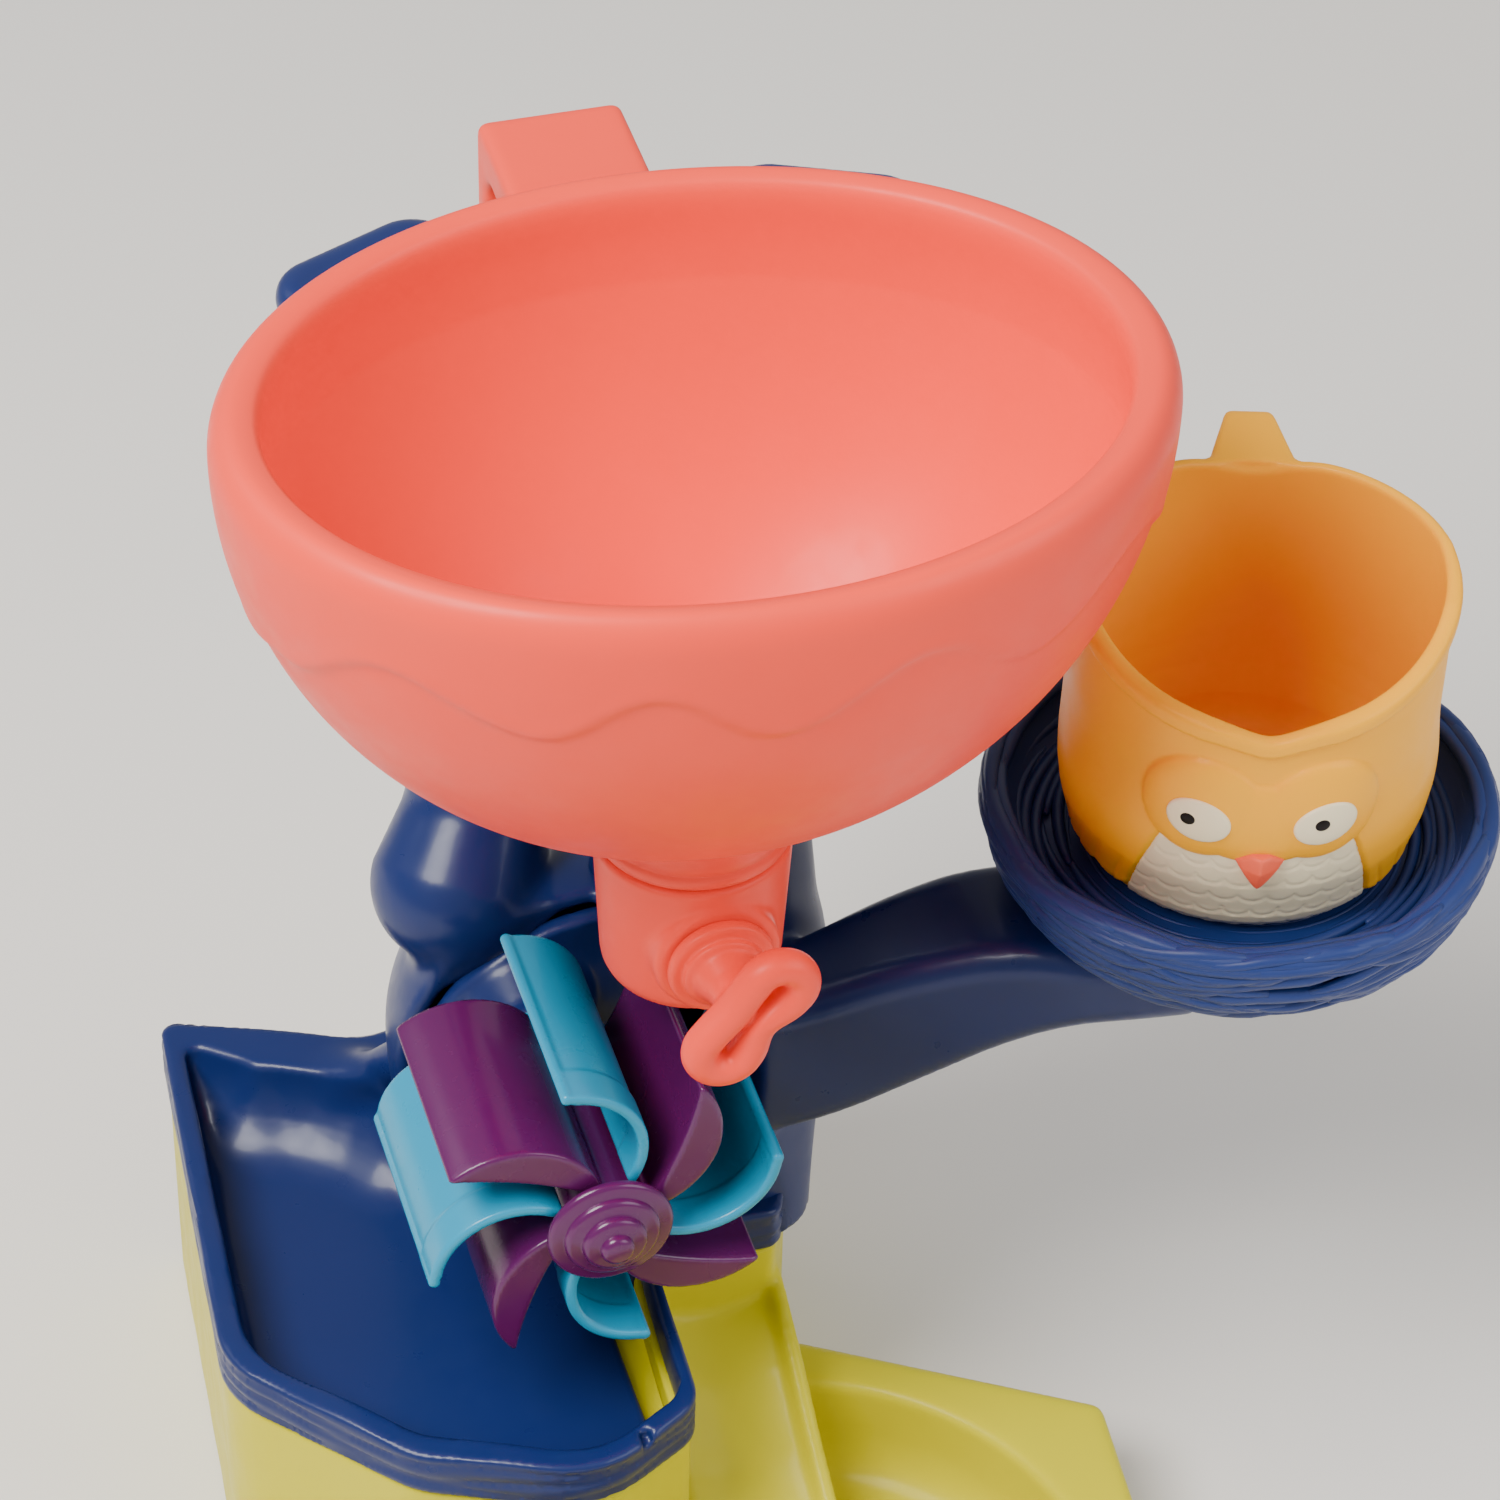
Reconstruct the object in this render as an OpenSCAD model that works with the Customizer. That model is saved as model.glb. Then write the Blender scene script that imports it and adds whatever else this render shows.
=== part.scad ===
// Tree-shaped sand and water wheel toy.
// Origin: on the table, straight below the axis of the funnel bowl.
// +Z up, -Y front (wheel and stopper face the front), +X towards the nest.

/* [Funnel bowl] */
// Height of the bowl rim above the table
rim_z = 320; // [315:1:325]
// Half length of the oval bowl, outside
bowl_ax = 95; // [92:0.5:97]
// Half width of the oval bowl, outside
bowl_ay = 74; // [72:0.5:75]
// Wall of the bowl
bowl_wall = 3; // [2.5:0.1:3.4]
// Width of the strap handle
handle_w = 27; // [22:1:30]

/* [Outlet and stopper] */
// Radius of the outlet cup at its top
neck_r = 20.8; // [20:0.1:21]
// Radius of the sand passage
passage_r = 7.5; // [6:0.1:7.8]
// Radius of the cross bore for the stopper
gate_r = 9; // [8.6:0.1:9.2]
// Radial play of the stopper in its bore
gate_play = 0.05; // [0.03:0.01:0.08]

/* [Wheel] */
// Radius over the scoop tips
wheel_r = 40; // [38:0.5:40.5]
// Length of the scoops along the axle
wheel_len = 53; // [50:0.5:53]
// Number of scoops of each colour
scoops = 4; // [3:1:4]
// Radius of the axle pin
axle_r = 3; // [2.5:0.1:3.2]
// Radial play of the axle in its bush
axle_play = 0.04; // [0.02:0.01:0.08]

/* [Nest and cup] */
// Radius of the nest rim
nest_r = 56; // [52:0.5:57]
// Radius of the cup at its belly
cup_r = 39.5; // [38:0.5:40]
// Wall of the cup
cup_wall = 2.4; // [2:0.1:3]

/* [Base] */
// Height of the deck floor
deck_z = 60; // [59:0.5:61]
// Height of the basin rim
basin_z = 30; // [26:1:34]
// Wall of the base
base_wall = 3; // [2.5:0.1:3.2]

/* [Hidden] */
$fn = 96;
e = 0.01;

coral = [0.95, 0.44, 0.37];
navy = [0.13, 0.20, 0.45];
purple = [0.38, 0.12, 0.36];
teal = [0.10, 0.60, 0.74];
lime = [0.81, 0.75, 0.18];
yellow = [0.98, 0.67, 0.16];
steel = [0.75, 0.76, 0.78];

// wheel axis
wx = -25.3;
wz = 123;
wy0 = -27;             // front face of the scoops
wy1 = wy0 + wheel_len; // back face
// stump axis
tx = -6;
ty = 52;
// nest axis
nx = 121;
ny = -2;
nz = 192;              // nest rim
cup_turn = -17.5;      // the cup faces a little to the left
cup_z = 171.3;         // level the cup is measured from; its underside is 7.7 above
// basin
bx = 8;
by = -65;
basin_r = 67;
deck_top = deck_z + 18;

// ---------- plan outlines ----------
function unit(v) = v / norm(v);
// polygon [x, y, r] with each corner turned into an arc of radius r
function rounded(P, n = 5) = [
  for (i = [0 : len(P) - 1])
    let (a = P[(i + len(P) - 1) % len(P)], b = P[i], c = P[(i + 1) % len(P)],
         p = [b[0], b[1]],
         u = unit([a[0], a[1]] - p), v = unit([c[0], c[1]] - p),
         half = acos(max(-1, min(1, u * v))) / 2,
         d = b[2] / tan(half),
         m = p + unit(u + v) * b[2] / sin(half),
         s = p + u * d - m, t = p + v * d - m,
         a0 = atan2(s[1], s[0]), da = atan2(s[0] * t[1] - s[1] * t[0], s * t))
    for (k = [0 : n]) m + b[2] * [cos(a0 + da * k / n), sin(a0 + da * k / n)]];
// the same polygon moved inwards by d
function inset(P, d) = [
  for (i = [0 : len(P) - 1])
    let (a = P[(i + len(P) - 1) % len(P)], b = P[i], c = P[(i + 1) % len(P)],
         u = unit([b[0] - a[0], b[1] - a[1]]), v = unit([c[0] - b[0], c[1] - b[1]]),
         n1 = [-u[1], u[0]], n2 = [-v[1], v[0]],
         q = [b[0], b[1]] + (n1 + n2) * d / (1 + n1 * n2),
         cv = u[0] * v[1] - u[1] * v[0])
    [q[0], q[1], max(0.6, cv > 0 ? b[2] - d : b[2] + d)]];

deck_line = [[-8, -42, 10], [-5.5, 8, 3], [25, 8, 5], [35, 32, 14], [35, 76, 20], [8, 97, 14], [-28, 97, 10],
             [-52, 88, 20], [-98, 107, 4], [-106, -4, 22], [-72, -41, 24], [-35, -57, 26]];
deck_hole = [[-11.5, -38, 8], [-8.5, 9, 2], [-8.5, 49, 2], [-48, 49, 2], [-54, 68, 6], [-78, 79, 40], [-92, 93.5, 4],
             [-99.5, -2, 20], [-69, -34, 20], [-34.5, -50, 22]];
basin_line = [[93, -25, 4], [24, 17, 2], [-30, 17, 2], [-78, -60, 20], [-62, -128, 22], [12, -156, 22], [84, -124, 22]];
post_at = [[-88, 20], [-80, 70], [-40, -30], [14, 22]];
foot_at = [[25, 70], [-2, 88], [-37, 70]];

// ---------- shared forms ----------
// outer form of the stump, moved inwards by d
function stump_r(z) = z < 105 ? 41 + 7 * sin((z - 60) * 2) : 48 * sqrt(max(0, 1 - pow((z - 105) / 44, 2)));
module stump_form(d = 0, z0 = 60) {
  translate([tx, ty, 0])
    rotate_extrude()
      polygon(concat([[0, z0]],
        [for (z = [z0 : (105 - z0) / 5 : 105.001]) [stump_r(z) - d, z]],
        [for (t = [10 : 10 : 80]) [(48 - d) * cos(t), 105 + (44 - d) * sin(t)]],
        [[0, 149 - d]]));
}
// oval bowl body, moved inwards by d, open rim on top
function bowl_pts(d) = [for (t = [0 : 7.5 : 90]) [(100 - d * 1.15) * sin(t), rim_z - 8 - (95 - d) * cos(t)]];
module oval() { scale([bowl_ax / 100, bowl_ay / 100, 1]) children(); }
module bowl_body() {
  resize([2 * bowl_ax, 2 * bowl_ay, 0]) rotate_extrude($fn = 60)
    polygon(concat(bowl_pts(0),
      [for (t = [30 : 30 : 90]) [94.5 + 5.5 * cos(t), rim_z - 8 + 8 * sin(t)]],
      [[92, rim_z - 0.8], [90.6, rim_z - 4]],
      [for (t = [82.5 : -7.5 : 7.5]) [(96 - bowl_wall) * sin(t) - 0.2 * sin(t), rim_z - 8 - (95 - bowl_wall) * cos(t)]],
      [[0, rim_z - 8 - 95 + bowl_wall]]));
}
// room the bowl takes, grown by g
module bowl_room(g) {
  oval() rotate_extrude($fn = 48)
    polygon(concat([for (t = [0 : 10 : 90]) [(100 + g * 1.3) * sin(t), rim_z - 8 - (95 + g) * cos(t)]],
      [[100 + g * 1.3, rim_z + 30], [0, rim_z + 30]]));
}
// pan-head screw, head under z = 0, thread upwards
module screw(len, hr = 2.8, sr = 1.45) {
  translate([0, 0, -2]) difference() {
    cylinder(r = hr, h = 2);
    for (a = [0, 90]) rotate([0, 0, a]) translate([-1.7, -0.4, -e]) cube([3.4, 0.8, 0.9]);
  }
  translate([0, 0, -e]) cylinder(r = sr, h = len + e);
}
// front-to-back cylinder about the wheel axis
module on_axle(y0, y1, r, r2 = -1) {
  translate([wx, y0, wz]) rotate([-90, 0, 0]) cylinder(r1 = r, r2 = r2 < 0 ? r : r2, h = y1 - y0);
}

// ---------- base ----------
module base_tray() color(lime) {
  difference() {
    linear_extrude(deck_z + 5.7) polygon(rounded(inset(deck_line, 1.5)));
    translate([0, 0, base_wall]) linear_extrude(100) polygon(rounded(inset(deck_line, 1.5 + base_wall)));
    for (p = post_at) translate([p[0], p[1], -1]) cylinder(r = 3.4, h = 10);
    // window under the deck slot, so that sand runs out on to the chute
    translate([-14, -29, 53.2]) cube([10, 31, 4.2]);
    stump_form(-0.4, 57.2);
  }
  // sloping ledge under the slot
  translate([0, 3, 0]) rotate([90, 0, 0]) linear_extrude(36) polygon([[-26, 56.9], [-26, 54.6], [-9.6, 50.6], [-9.6, 53]]);
  // screw posts
  for (p = post_at) translate([p[0], p[1], 0]) difference() {
    cylinder(r = 5.5, h = 50);
    translate([0, 0, -1]) cylinder(r = 3.4, h = 45);
    cylinder(r = 1.6, h = 60);
  }
  // basin with flat rim and skirt
  difference() {
    union() {
      difference() {
        linear_extrude(basin_z) polygon(rounded(basin_line));
        translate([0, 0, -1]) linear_extrude(basin_z - base_wall + 1) polygon(rounded(inset(basin_line, base_wall)));
        translate([bx, by, -1]) cylinder(r = basin_r + 1.5, h = 80);
      }
      translate([bx, by, 0]) rotate_extrude()
        polygon(concat([[0, 0], [basin_r + base_wall, 0], [basin_r + base_wall, basin_z], [basin_r, basin_z]],
          [for (t = [0 : 10 : 90]) [basin_r - 14 + 14 * cos(t), 17 - 14 * sin(t)]], [[0, base_wall]]));
    }
    translate([0, 0, -1]) linear_extrude(100) polygon(rounded(inset(deck_line, 1.5 + base_wall / 2)));
  }
  // chute from the wheel to the basin
  difference() {
    union() {
      translate([-7.5, 0, 0]) rotate([90, 0, 90]) linear_extrude(34)
        polygon([[13, 0], [13, 53], [8, 51], [-6, 43], [-22, 32], [-40, 22], [-50, 17], [-55, 12], [-57, 6], [-57, 2],
                 [-54, 2], [-54, 6], [-52, 10], [-48, 13.5], [-39, 18.5], [-21, 28.5], [-5, 39.5], [8, 47], [10, 45], [10, 0]]);
      translate([23.5, 0, 0]) rotate([90, 0, 90]) linear_extrude(3)
        polygon([[13, 0], [13, 55], [8, 53.5], [-6, 46], [-22, 35], [-40, 25], [-50, 19.5], [-55, 13], [-57, 6], [-57, 0]]);
    }
    translate([0, 0, -1]) linear_extrude(100) polygon(rounded(inset(deck_line, 1.5 + base_wall / 2)));
  }
}

module deck_tray() color(navy) {
  difference() {
    union() {
      translate([0, 0, deck_z - 2.5]) linear_extrude(10) polygon(rounded(inset(deck_line, 4.8)));
      translate([0, 0, deck_z + 6]) linear_extrude(12) polygon(rounded(deck_line));
      for (p = post_at) translate([p[0], p[1], 50.1]) cylinder(r = 5, h = deck_z - 50);
    }
    translate([0, 0, deck_z]) linear_extrude(4) polygon(rounded(inset(deck_hole, 1.8)));
    translate([0, 0, deck_z + 2]) linear_extrude(50) polygon(rounded(deck_hole));
    stump_form(-0.3, deck_z);
    translate([-50, 20, deck_z]) cube([60, 30, 40]);
    // slot along the right wall
    translate([-16.8, -33, deck_z - 10]) cube([6, 36, 30]);
    translate([-13.8, -33, deck_z - 10]) cylinder(r = 3, h = 30);
    // clip notch in the front wall
    translate([-25, -60, deck_z + 11]) cube([5, 12, 20]);
    for (p = post_at) translate([p[0], p[1], 0]) cylinder(r = 1.5, h = deck_z - 1);
    for (p = foot_at) translate([p[0], p[1], 0]) cylinder(r = 1.6, h = 100);
    for (x = [-37, -2]) translate([x, 41.6, 0]) cylinder(r = 1.6, h = 100);
  }
}

// ---------- tree ----------
module trunk_shell() color(navy) {
  difference() {
    union() {
      difference() {
        stump_form(0);
        stump_form(4, 60);
      }
      // screw bosses inside the foot
      for (p = foot_at) translate([p[0], p[1], 60]) cylinder(r = 4.6, h = 22);
      // bosses under the roof for the limbs, the collar and the branch
      intersection() {
        stump_form(1);
        union() {
          translate([-31, 62, 128]) cylinder(r = 11, h = 50);
          translate([20, 58, 112]) cylinder(r = 11, h = 50);
          translate([0, 56.5, 128]) cylinder(r = 7, h = 50);
        }
      }
    }
    // room for the wheel, open down to the deck
    on_axle(-20, 31, 44);
    translate([wx - 60, -20, 0]) cube([104, 51, wz]);
    // open front left quarter
    translate([-85, -20, 0]) cube([77, 67, 170]);
    for (p = foot_at) translate([p[0], p[1], 50]) cylinder(r = 1.5, h = 28);
    // sockets
    translate([-31, 62, 131]) cylinder(r = 8.1, h = 50);
    translate([20, 58, 118]) cylinder(r = 8.1, h = 50);
    translate([-31, 62, 100]) cylinder(r = 1.6, h = 50);
    translate([20, 58, 100]) cylinder(r = 1.6, h = 50);
    translate([0, 56.5, 100]) cylinder(r = 1.6, h = 80);
    translate([10, 24, 128]) rotate([0, 90, 0]) cylinder(r = 10.1, h = 40);
  }
}

module axle_bracket() color(navy) {
  difference() {
    union() {
      intersection() {
        stump_form(4.2, 60.1);
        translate([-43, 43, 60.1]) cube([51, 3.7, 80]);
      }
      on_axle(28.6, 43.5, 11);
      on_axle(33, 43.5, 11, 15);
      // foot flange
      translate([-42, 37.5, 60.1]) cube([46, 8, 4]);
      for (x = [-37, -2]) translate([x, 41.6, 60.1]) cylinder(r = 3.8, h = 12);
    }
    on_axle(20, 60, 5.5);
    for (x = [-37, -2]) translate([x, 41.6, 55]) cylinder(r = 1.5, h = 15);
    for (p = foot_at) translate([p[0], p[1], 50]) cylinder(r = 5, h = 40);
  }
}

// limb built from round stations, cut to sit on the stump and clear of the bowl
module limb(s, a, b, c, up = 0) {
  difference() {
    union() {
      hull() { translate(a[0]) sphere(r = a[1], $fn = 32); translate(b[0]) sphere(r = b[1], $fn = 32); }
      hull() { translate(b[0]) sphere(r = b[1], $fn = 32); translate(c[0]) sphere(r = c[1], $fn = 32); }
      hull() {
        translate(c[0]) sphere(r = c[1], $fn = 32);
        translate([s * 58, 70, 286 + up]) cylinder(r = 10, h = 18, $fn = 32);
        translate([s * 38, 79, 286 + up]) cylinder(r = 10, h = 18, $fn = 32);
        translate([s * 57, 70, 286 + up]) cylinder(r = 8, h = 20, $fn = 32);
        translate([s * 38.5, 78.5, 286 + up]) cylinder(r = 8, h = 20, $fn = 32);
      }
    }
    bowl_room(0.8);
    stump_form(-0.05, 40);
  }
}
module limb_left() color(navy) {
  difference() {
    union() {
      limb(-1, [[-36, 61, 146], 19], [[-27, 72, 163], 15], [[-38, 78, 215], 14]);
      translate([-31, 62, 132]) cylinder(r = 8, h = 24);
    }
    translate([-31, 62, 120]) cylinder(r = 1.5, h = 32);
  }
}
module limb_right() color(navy) {
  difference() {
    union() {
      limb(1, [[23, 51, 134], 23], [[25, 60, 166], 18], [[40, 75, 215], 15], 0.5);
      translate([20, 58, 120]) cylinder(r = 8, h = 40);
    }
    translate([20, 58, 110]) cylinder(r = 1.5, h = 26);
    // notch round the tenon of the side branch
    translate([18, 24, 128]) rotate([0, 90, 0]) cylinder(r = 10.3, h = 18.6);
    // room for the neck, its collar and the post
    translate([0, 0, 160]) cylinder(r = 30, h = 80);
    translate([0, 31, 206]) rotate([-180 + 21.8, 0, 0]) translate([0, 0, -6]) cylinder(r = 7.9, h = 90);
  }
}

module bowl_yoke() color(navy) {
  difference() {
    union() {
      translate([0, 0, 209]) rotate([0, 0, -8]) rotate_extrude(angle = 196) translate([21.6, 0]) square([5.4, 9.6]);
      difference() {
        translate([0, 31, 206]) rotate([-180 + 21.8, 0, 0]) translate([0, 0, -6]) cylinder(r = 7.5, h = 76);
        translate([0, 0, 160]) cylinder(r = 21.6, h = 90);
        bowl_room(0.5);
        stump_form(-0.05, 40);
      }
    }
    translate([0, 56.5, 120]) cylinder(r = 1.5, h = 42);
    translate([0, 0, 218.6]) cylinder(r = 60, h = 20);
  }
}

module arm_end() { for (y = [-5, 10], z = [151, 156]) translate([74, y, z]) sphere(r = 8, $fn = 24); }
module branch_arm() color(navy) {
  difference() {
    union() {
      hull() {
        for (y = [14, 20], z = [113, 135]) translate([31, y, z]) sphere(r = 8, $fn = 24);
        arm_end();
      }
      hull() {
        arm_end();
        translate([nx, ny, 147]) cylinder(r1 = 14, r2 = 25.5, h = 12.7, $fn = 32);
      }
    }
    stump_form(-0.05, 40);
    hull() {
      translate([23, 51, 134]) sphere(r = 23.5, $fn = 32);
      translate([25, 60, 166]) sphere(r = 18.5, $fn = 32);
    }
    // seat of the nest
    translate([nx, ny, 0]) rotate_extrude() polygon(concat([[0, 159.7]], nest_out(0.3), [[nest_r + 0.3, 200], [0, 200]]));
    translate([nx, ny, 140]) cylinder(r = 1.5, h = 30);
  }
  // tenon into the stump, spigot into the nest
  difference() {
    union() {
      translate([19, 24, 128]) rotate([0, 90, 0]) cylinder(r = 10, h = 17);
      translate([nx, ny, 155]) cylinder(r = 8, h = 8.8);
    }
    translate([nx, ny, 140]) cylinder(r = 1.5, h = 40);
  }
}

function nest_out(g) = concat([[26 + g, 160 - g]], [for (t = [60 : -15 : 0]) [26 + (nest_r - 26 + g) * cos(t), 187 - (23.4 + g) * sin(t)]]);
module nest() color(navy) {
  translate([nx, ny, 0]) difference() {
    rotate_extrude()
      polygon(concat([[0, 160]], nest_out(0),
        [[nest_r, nz - 2], [nest_r - 1, nz], [nest_r - 3.6, nz], [nest_r - 4.6, nz - 2]],
        [for (t = [0 : 15 : 90]) [36 + (nest_r - 41) * cos(t), 187 - 8.3 * sin(t)]],
        [[0, 178.7]]));
    translate([0, 0, 150]) cylinder(r = 8.1, h = 14);
    translate([0, 0, 150]) cylinder(r = 1.6, h = 40);
    translate([0, 0, 168]) cylinder(r = 3.2, h = 14);
  }
}

// ---------- cup ----------
module owl_cup() color(yellow) {
  translate([nx, ny, cup_z]) rotate([0, 0, cup_turn]) {
    difference() {
      union() {
        rotate_extrude()
          polygon(concat([[0, 7.7]],
            [for (t = [-90 : 15 : 0]) [26 + 10 * cos(t), 17.7 + 10 * sin(t)]],
            [[38.2, 24], [cup_r, 38], [cup_r, 52], [cup_r + 0.6, 66], [cup_r + 1.5, 84], [0, 84]]));
        // strap handle at the back
        difference() {
          translate([-8, 30, 0]) rotate([90, 0, 90]) linear_extrude(16)
            polygon(rounded([[0, 30, 1], [22, 30, 9], [27, 60, 6], [26, 79, 5], [0, 77, 1]]));
          translate([-9, 30, 0]) rotate([90, 0, 90]) linear_extrude(18)
            polygon(rounded([[0, 35, 1], [18.5, 35, 5], [22.4, 60, 4], [21.5, 74, 3], [0, 72, 1]]));
        }
      }
      // inside
      rotate_extrude()
        polygon(concat([[0, 7.7 + cup_wall]],
          [for (t = [-90 : 15 : 0]) [25 + 9 * cos(t), 16.7 + cup_wall + 9 * sin(t)]],
          [[38.2 - cup_wall, 24], [cup_r - cup_wall, 38], [cup_r - cup_wall, 52], [cup_r + 0.6 - cup_wall, 66],
           [cup_r + 1.7 - cup_wall, 90], [0, 90]]));
      // heart-shaped rim: high at the sides, a V at the front and a shallow dip at the back
      translate([-60, 0, 0]) rotate([90, 0, 90]) linear_extrude(120)
        polygon([[-60, 66], [-38, 68], [-10, 79], [8, 82], [26, 80], [45, 77], [45, 100], [-60, 100]]);
      translate([0, -60, 0]) rotate([-90, 0, 0]) linear_extrude(55)
        polygon([[0, -66], [30, -80], [30, -120], [-30, -120], [-30, -80]]);
    }
  }
}

// ---------- bowl, outlet and stopper ----------
module funnel_bowl() color(coral) {
  difference() {
    union() {
      bowl_body();
      translate([0, 0, rim_z - 114]) cylinder(r = neck_r - 0.6, h = 16.3);
      translate([0, 0, rim_z - 121]) cylinder(r = 17, h = 20);
      // strap handle at the back
      difference() {
        translate([-handle_w / 2 - 1, 0, 0]) rotate([90, 0, 90]) linear_extrude(handle_w)
          polygon(rounded([[64.4, rim_z - 50, 0.5], [84, rim_z - 52, 14], [104, rim_z - 30, 12], [104, rim_z - 4, 3.5], [69, rim_z - 5.5, 0.5]]));
        translate([-handle_w / 2 - 2, 0, 0]) rotate([90, 0, 90]) linear_extrude(handle_w + 2)
          polygon(rounded([[50, rim_z - 44, 1], [84, rim_z - 46, 9], [98.5, rim_z - 29, 8], [98.5, rim_z - 10, 3], [50, rim_z - 11, 1]]));
      }
    }
    translate([0, 0, rim_z - 140]) cylinder(r = 13, h = 50);
  }
}

module outlet_cup() color(coral) {
  difference() {
    union() {
      translate([0, 0, rim_z - 150]) rotate_extrude()
        polygon(concat([[0, 0]],
          [for (t = [-90 : 15 : 0]) [neck_r - 6.2 + 4.6 * cos(t), 5 + 5 * sin(t)]],
          [[neck_r, 34.2], [neck_r - 0.8, 35.5], [0, 35.5]]));
      translate([0, -20.6, rim_z - 133]) rotate([-90, 0, 0]) cylinder(r = 13.5, h = 12);
    }
    translate([0, 0, rim_z - 121.2]) cylinder(r = 17.05, h = 40);
    translate([0, 0, rim_z - 160]) cylinder(r = passage_r, h = 60);
    translate([0, 0, rim_z - 123.4]) cylinder(r1 = passage_r, r2 = 12.6, h = 2.3);
    translate([0, -30, rim_z - 133]) rotate([-90, 0, 0]) cylinder(r = gate_r, h = 40.8);
  }
}

module stopper() color(coral) {
  translate([0, 0, rim_z - 133]) {
    translate([0, -20.9, 0]) rotate([-90, 0, 0]) cylinder(r = gate_r - gate_play, h = 31.2);
    translate([0, -24, 0]) rotate([-90, 0, 0]) cylinder(r = 11.4, h = 3.1);
    translate([0, -34, 0]) rotate([-90, 0, 0]) cylinder(r1 = 4.2, r2 = 7.5, h = 10.2);
    // pull loop
    translate([0, -37, 0]) rotate([0, -50, 0]) rotate([90, 0, 0]) {
      for (a = [0, 180]) rotate([0, 0, a]) translate([10, 0, 0]) rotate([0, 0, -90]) rotate_extrude(angle = 180) translate([5.4, 0]) circle(r = 3.5);
      for (s = [-1, 1]) translate([-10, s * 5.4, 0]) rotate([0, 90, 0]) cylinder(r = 3.5, h = 20);
    }
  }
}

// ---------- wheel ----------
function polar(r, a) = [r * cos(a), r * sin(a)];
// centre of the circle through p and q that bulges by s to the left of q -> p
function arc_r(p, q, s) = (pow(norm(q - p) / 2, 2) + s * s) / (2 * s);
function arc_c(p, q, s) = let (d = unit(q - p), n = [d[1], -d[0]]) (p + q) / 2 + n * (s - arc_r(p, q, s));
module wheel_purple() color(purple) {
  difference() {
    union() {
      on_axle(wy0 - 1, wy1 - 0.6, 9.5);
      for (k = [0 : scoops - 1]) {
        tip = polar(wheel_r, 149.5 + k * 360 / scoops);
        root = polar(7, 149.5 - 56 + k * 360 / scoops);
        translate([wx, wy1 - 4.2, wz]) rotate([90, 0, 0]) difference() {
          translate(concat(arc_c(root, tip, 11), [0])) cylinder(r = arc_r(root, tip, 11), h = wheel_len - 4.2);
          translate(concat(arc_c(root, tip, 2), [-1])) cylinder(r = arc_r(root, tip, 2), h = wheel_len + 4);
        }
      }
    }
    on_axle(wy0 - 5, wy1 + 5, axle_r);
  }
}
module wheel_teal() color(teal) {
  difference() {
    union() {
      on_axle(wy1 - 3.6, wy1 - 0.6, 15);
      for (k = [0 : scoops - 1]) {
        tip = polar(wheel_r - 0.3, 192.9 + k * 360 / scoops);
        root = polar(10.6, 192.9 - 44 + k * 360 / scoops);
        c = arc_c(root, tip, 10);
        r = arc_r(root, tip, 10);
        d = unit(tip - root);
        translate([wx, wy1 - 0.6, wz]) rotate([90, 0, 0]) difference() {
          translate([c[0], c[1], 0]) cylinder(r = r, h = wheel_len - 0.6);
          translate([c[0], c[1], -1]) cylinder(r = r - 2.6, h = wheel_len + 2);
          // keep the bulging side of the chord only
          translate([root[0], root[1], -1]) rotate([0, 0, atan2(d[1], d[0])]) translate([-60, 0, 0]) cube([160, 80, wheel_len + 4]);
        }
      }
    }
    on_axle(wy0 - 5, wy1 + 5, 9.6);
  }
}
module hub_cap() color(purple) {
  translate([wx, wy0 - 9.7, wz]) rotate([-90, 0, 0]) difference() {
    rotate_extrude()
      polygon([[0, 0], [3, 0], [3.6, 0.8], [3.8, 2], [6.4, 2.2], [7, 3], [7.2, 4.2], [9.8, 4.4], [10.4, 5.2], [10.6, 6], [13.2, 6.2],
               [13.8, 6.9], [13.8, 8.2], [13.2, 8.6], [0, 8.6]]);
    translate([0, 0, 3.6]) cylinder(r = 5.2, h = 10);
  }
}
module axle() color(steel) {
  difference() {
    on_axle(wy0 - 4.5, 51.8, axle_r);
    // groove for the clip
    difference() { on_axle(49.2, 50.4, 6); on_axle(49, 51, axle_r - 0.7); }
    difference() { on_axle(wy1 - 0.3, 49, 6); on_axle(wy1 - 1, 50, axle_r - axle_play); }
  }
}
module axle_bush() color([0.9, 0.88, 0.82]) {
  difference() {
    union() { on_axle(28.6, 48.8, 5.45); on_axle(46.9, 48.4, 8); }
    on_axle(20, 60, axle_r);
  }
}
module axle_washer() color(steel) {
  difference() { on_axle(wy1 - 0.3, wy1 + 2.3, 8); on_axle(0, 60, axle_r + 0.05); }
}
module axle_clip() color(steel) {
  difference() {
    on_axle(49.3, 50.3, 5.5);
    on_axle(45, 55, axle_r - 0.65);
    translate([wx - 2, 45, wz]) cube([4, 10, 10]);
  }
}
module axle_nut() color(steel) {
  difference() { on_axle(wy0 - 3.4, wy0 - 1.1, 5); on_axle(wy0 - 9, wy0 + 9, axle_r); }
}

// ---------- fasteners ----------
module trunk_screws() color(steel) for (p = foot_at) translate([p[0], p[1], deck_z - 2.6]) screw(19);
module bracket_screws() color(steel) for (x = [-37, -2]) translate([x, 41.6, deck_z - 2.6]) screw(10);
module limb_screws() color(steel) for (p = [[-31, 62, 127.9], [20, 58, 111.9]]) translate(p) screw(22);
module yoke_screw() color(steel) translate([0, 56.5, 127.9]) screw(28);
module nest_screw() color(steel) translate([nx, ny, 168.05]) mirror([0, 0, 1]) screw(18);
module deck_screws() color(steel) for (p = post_at) translate([p[0], p[1], 43.9]) screw(14);

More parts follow.
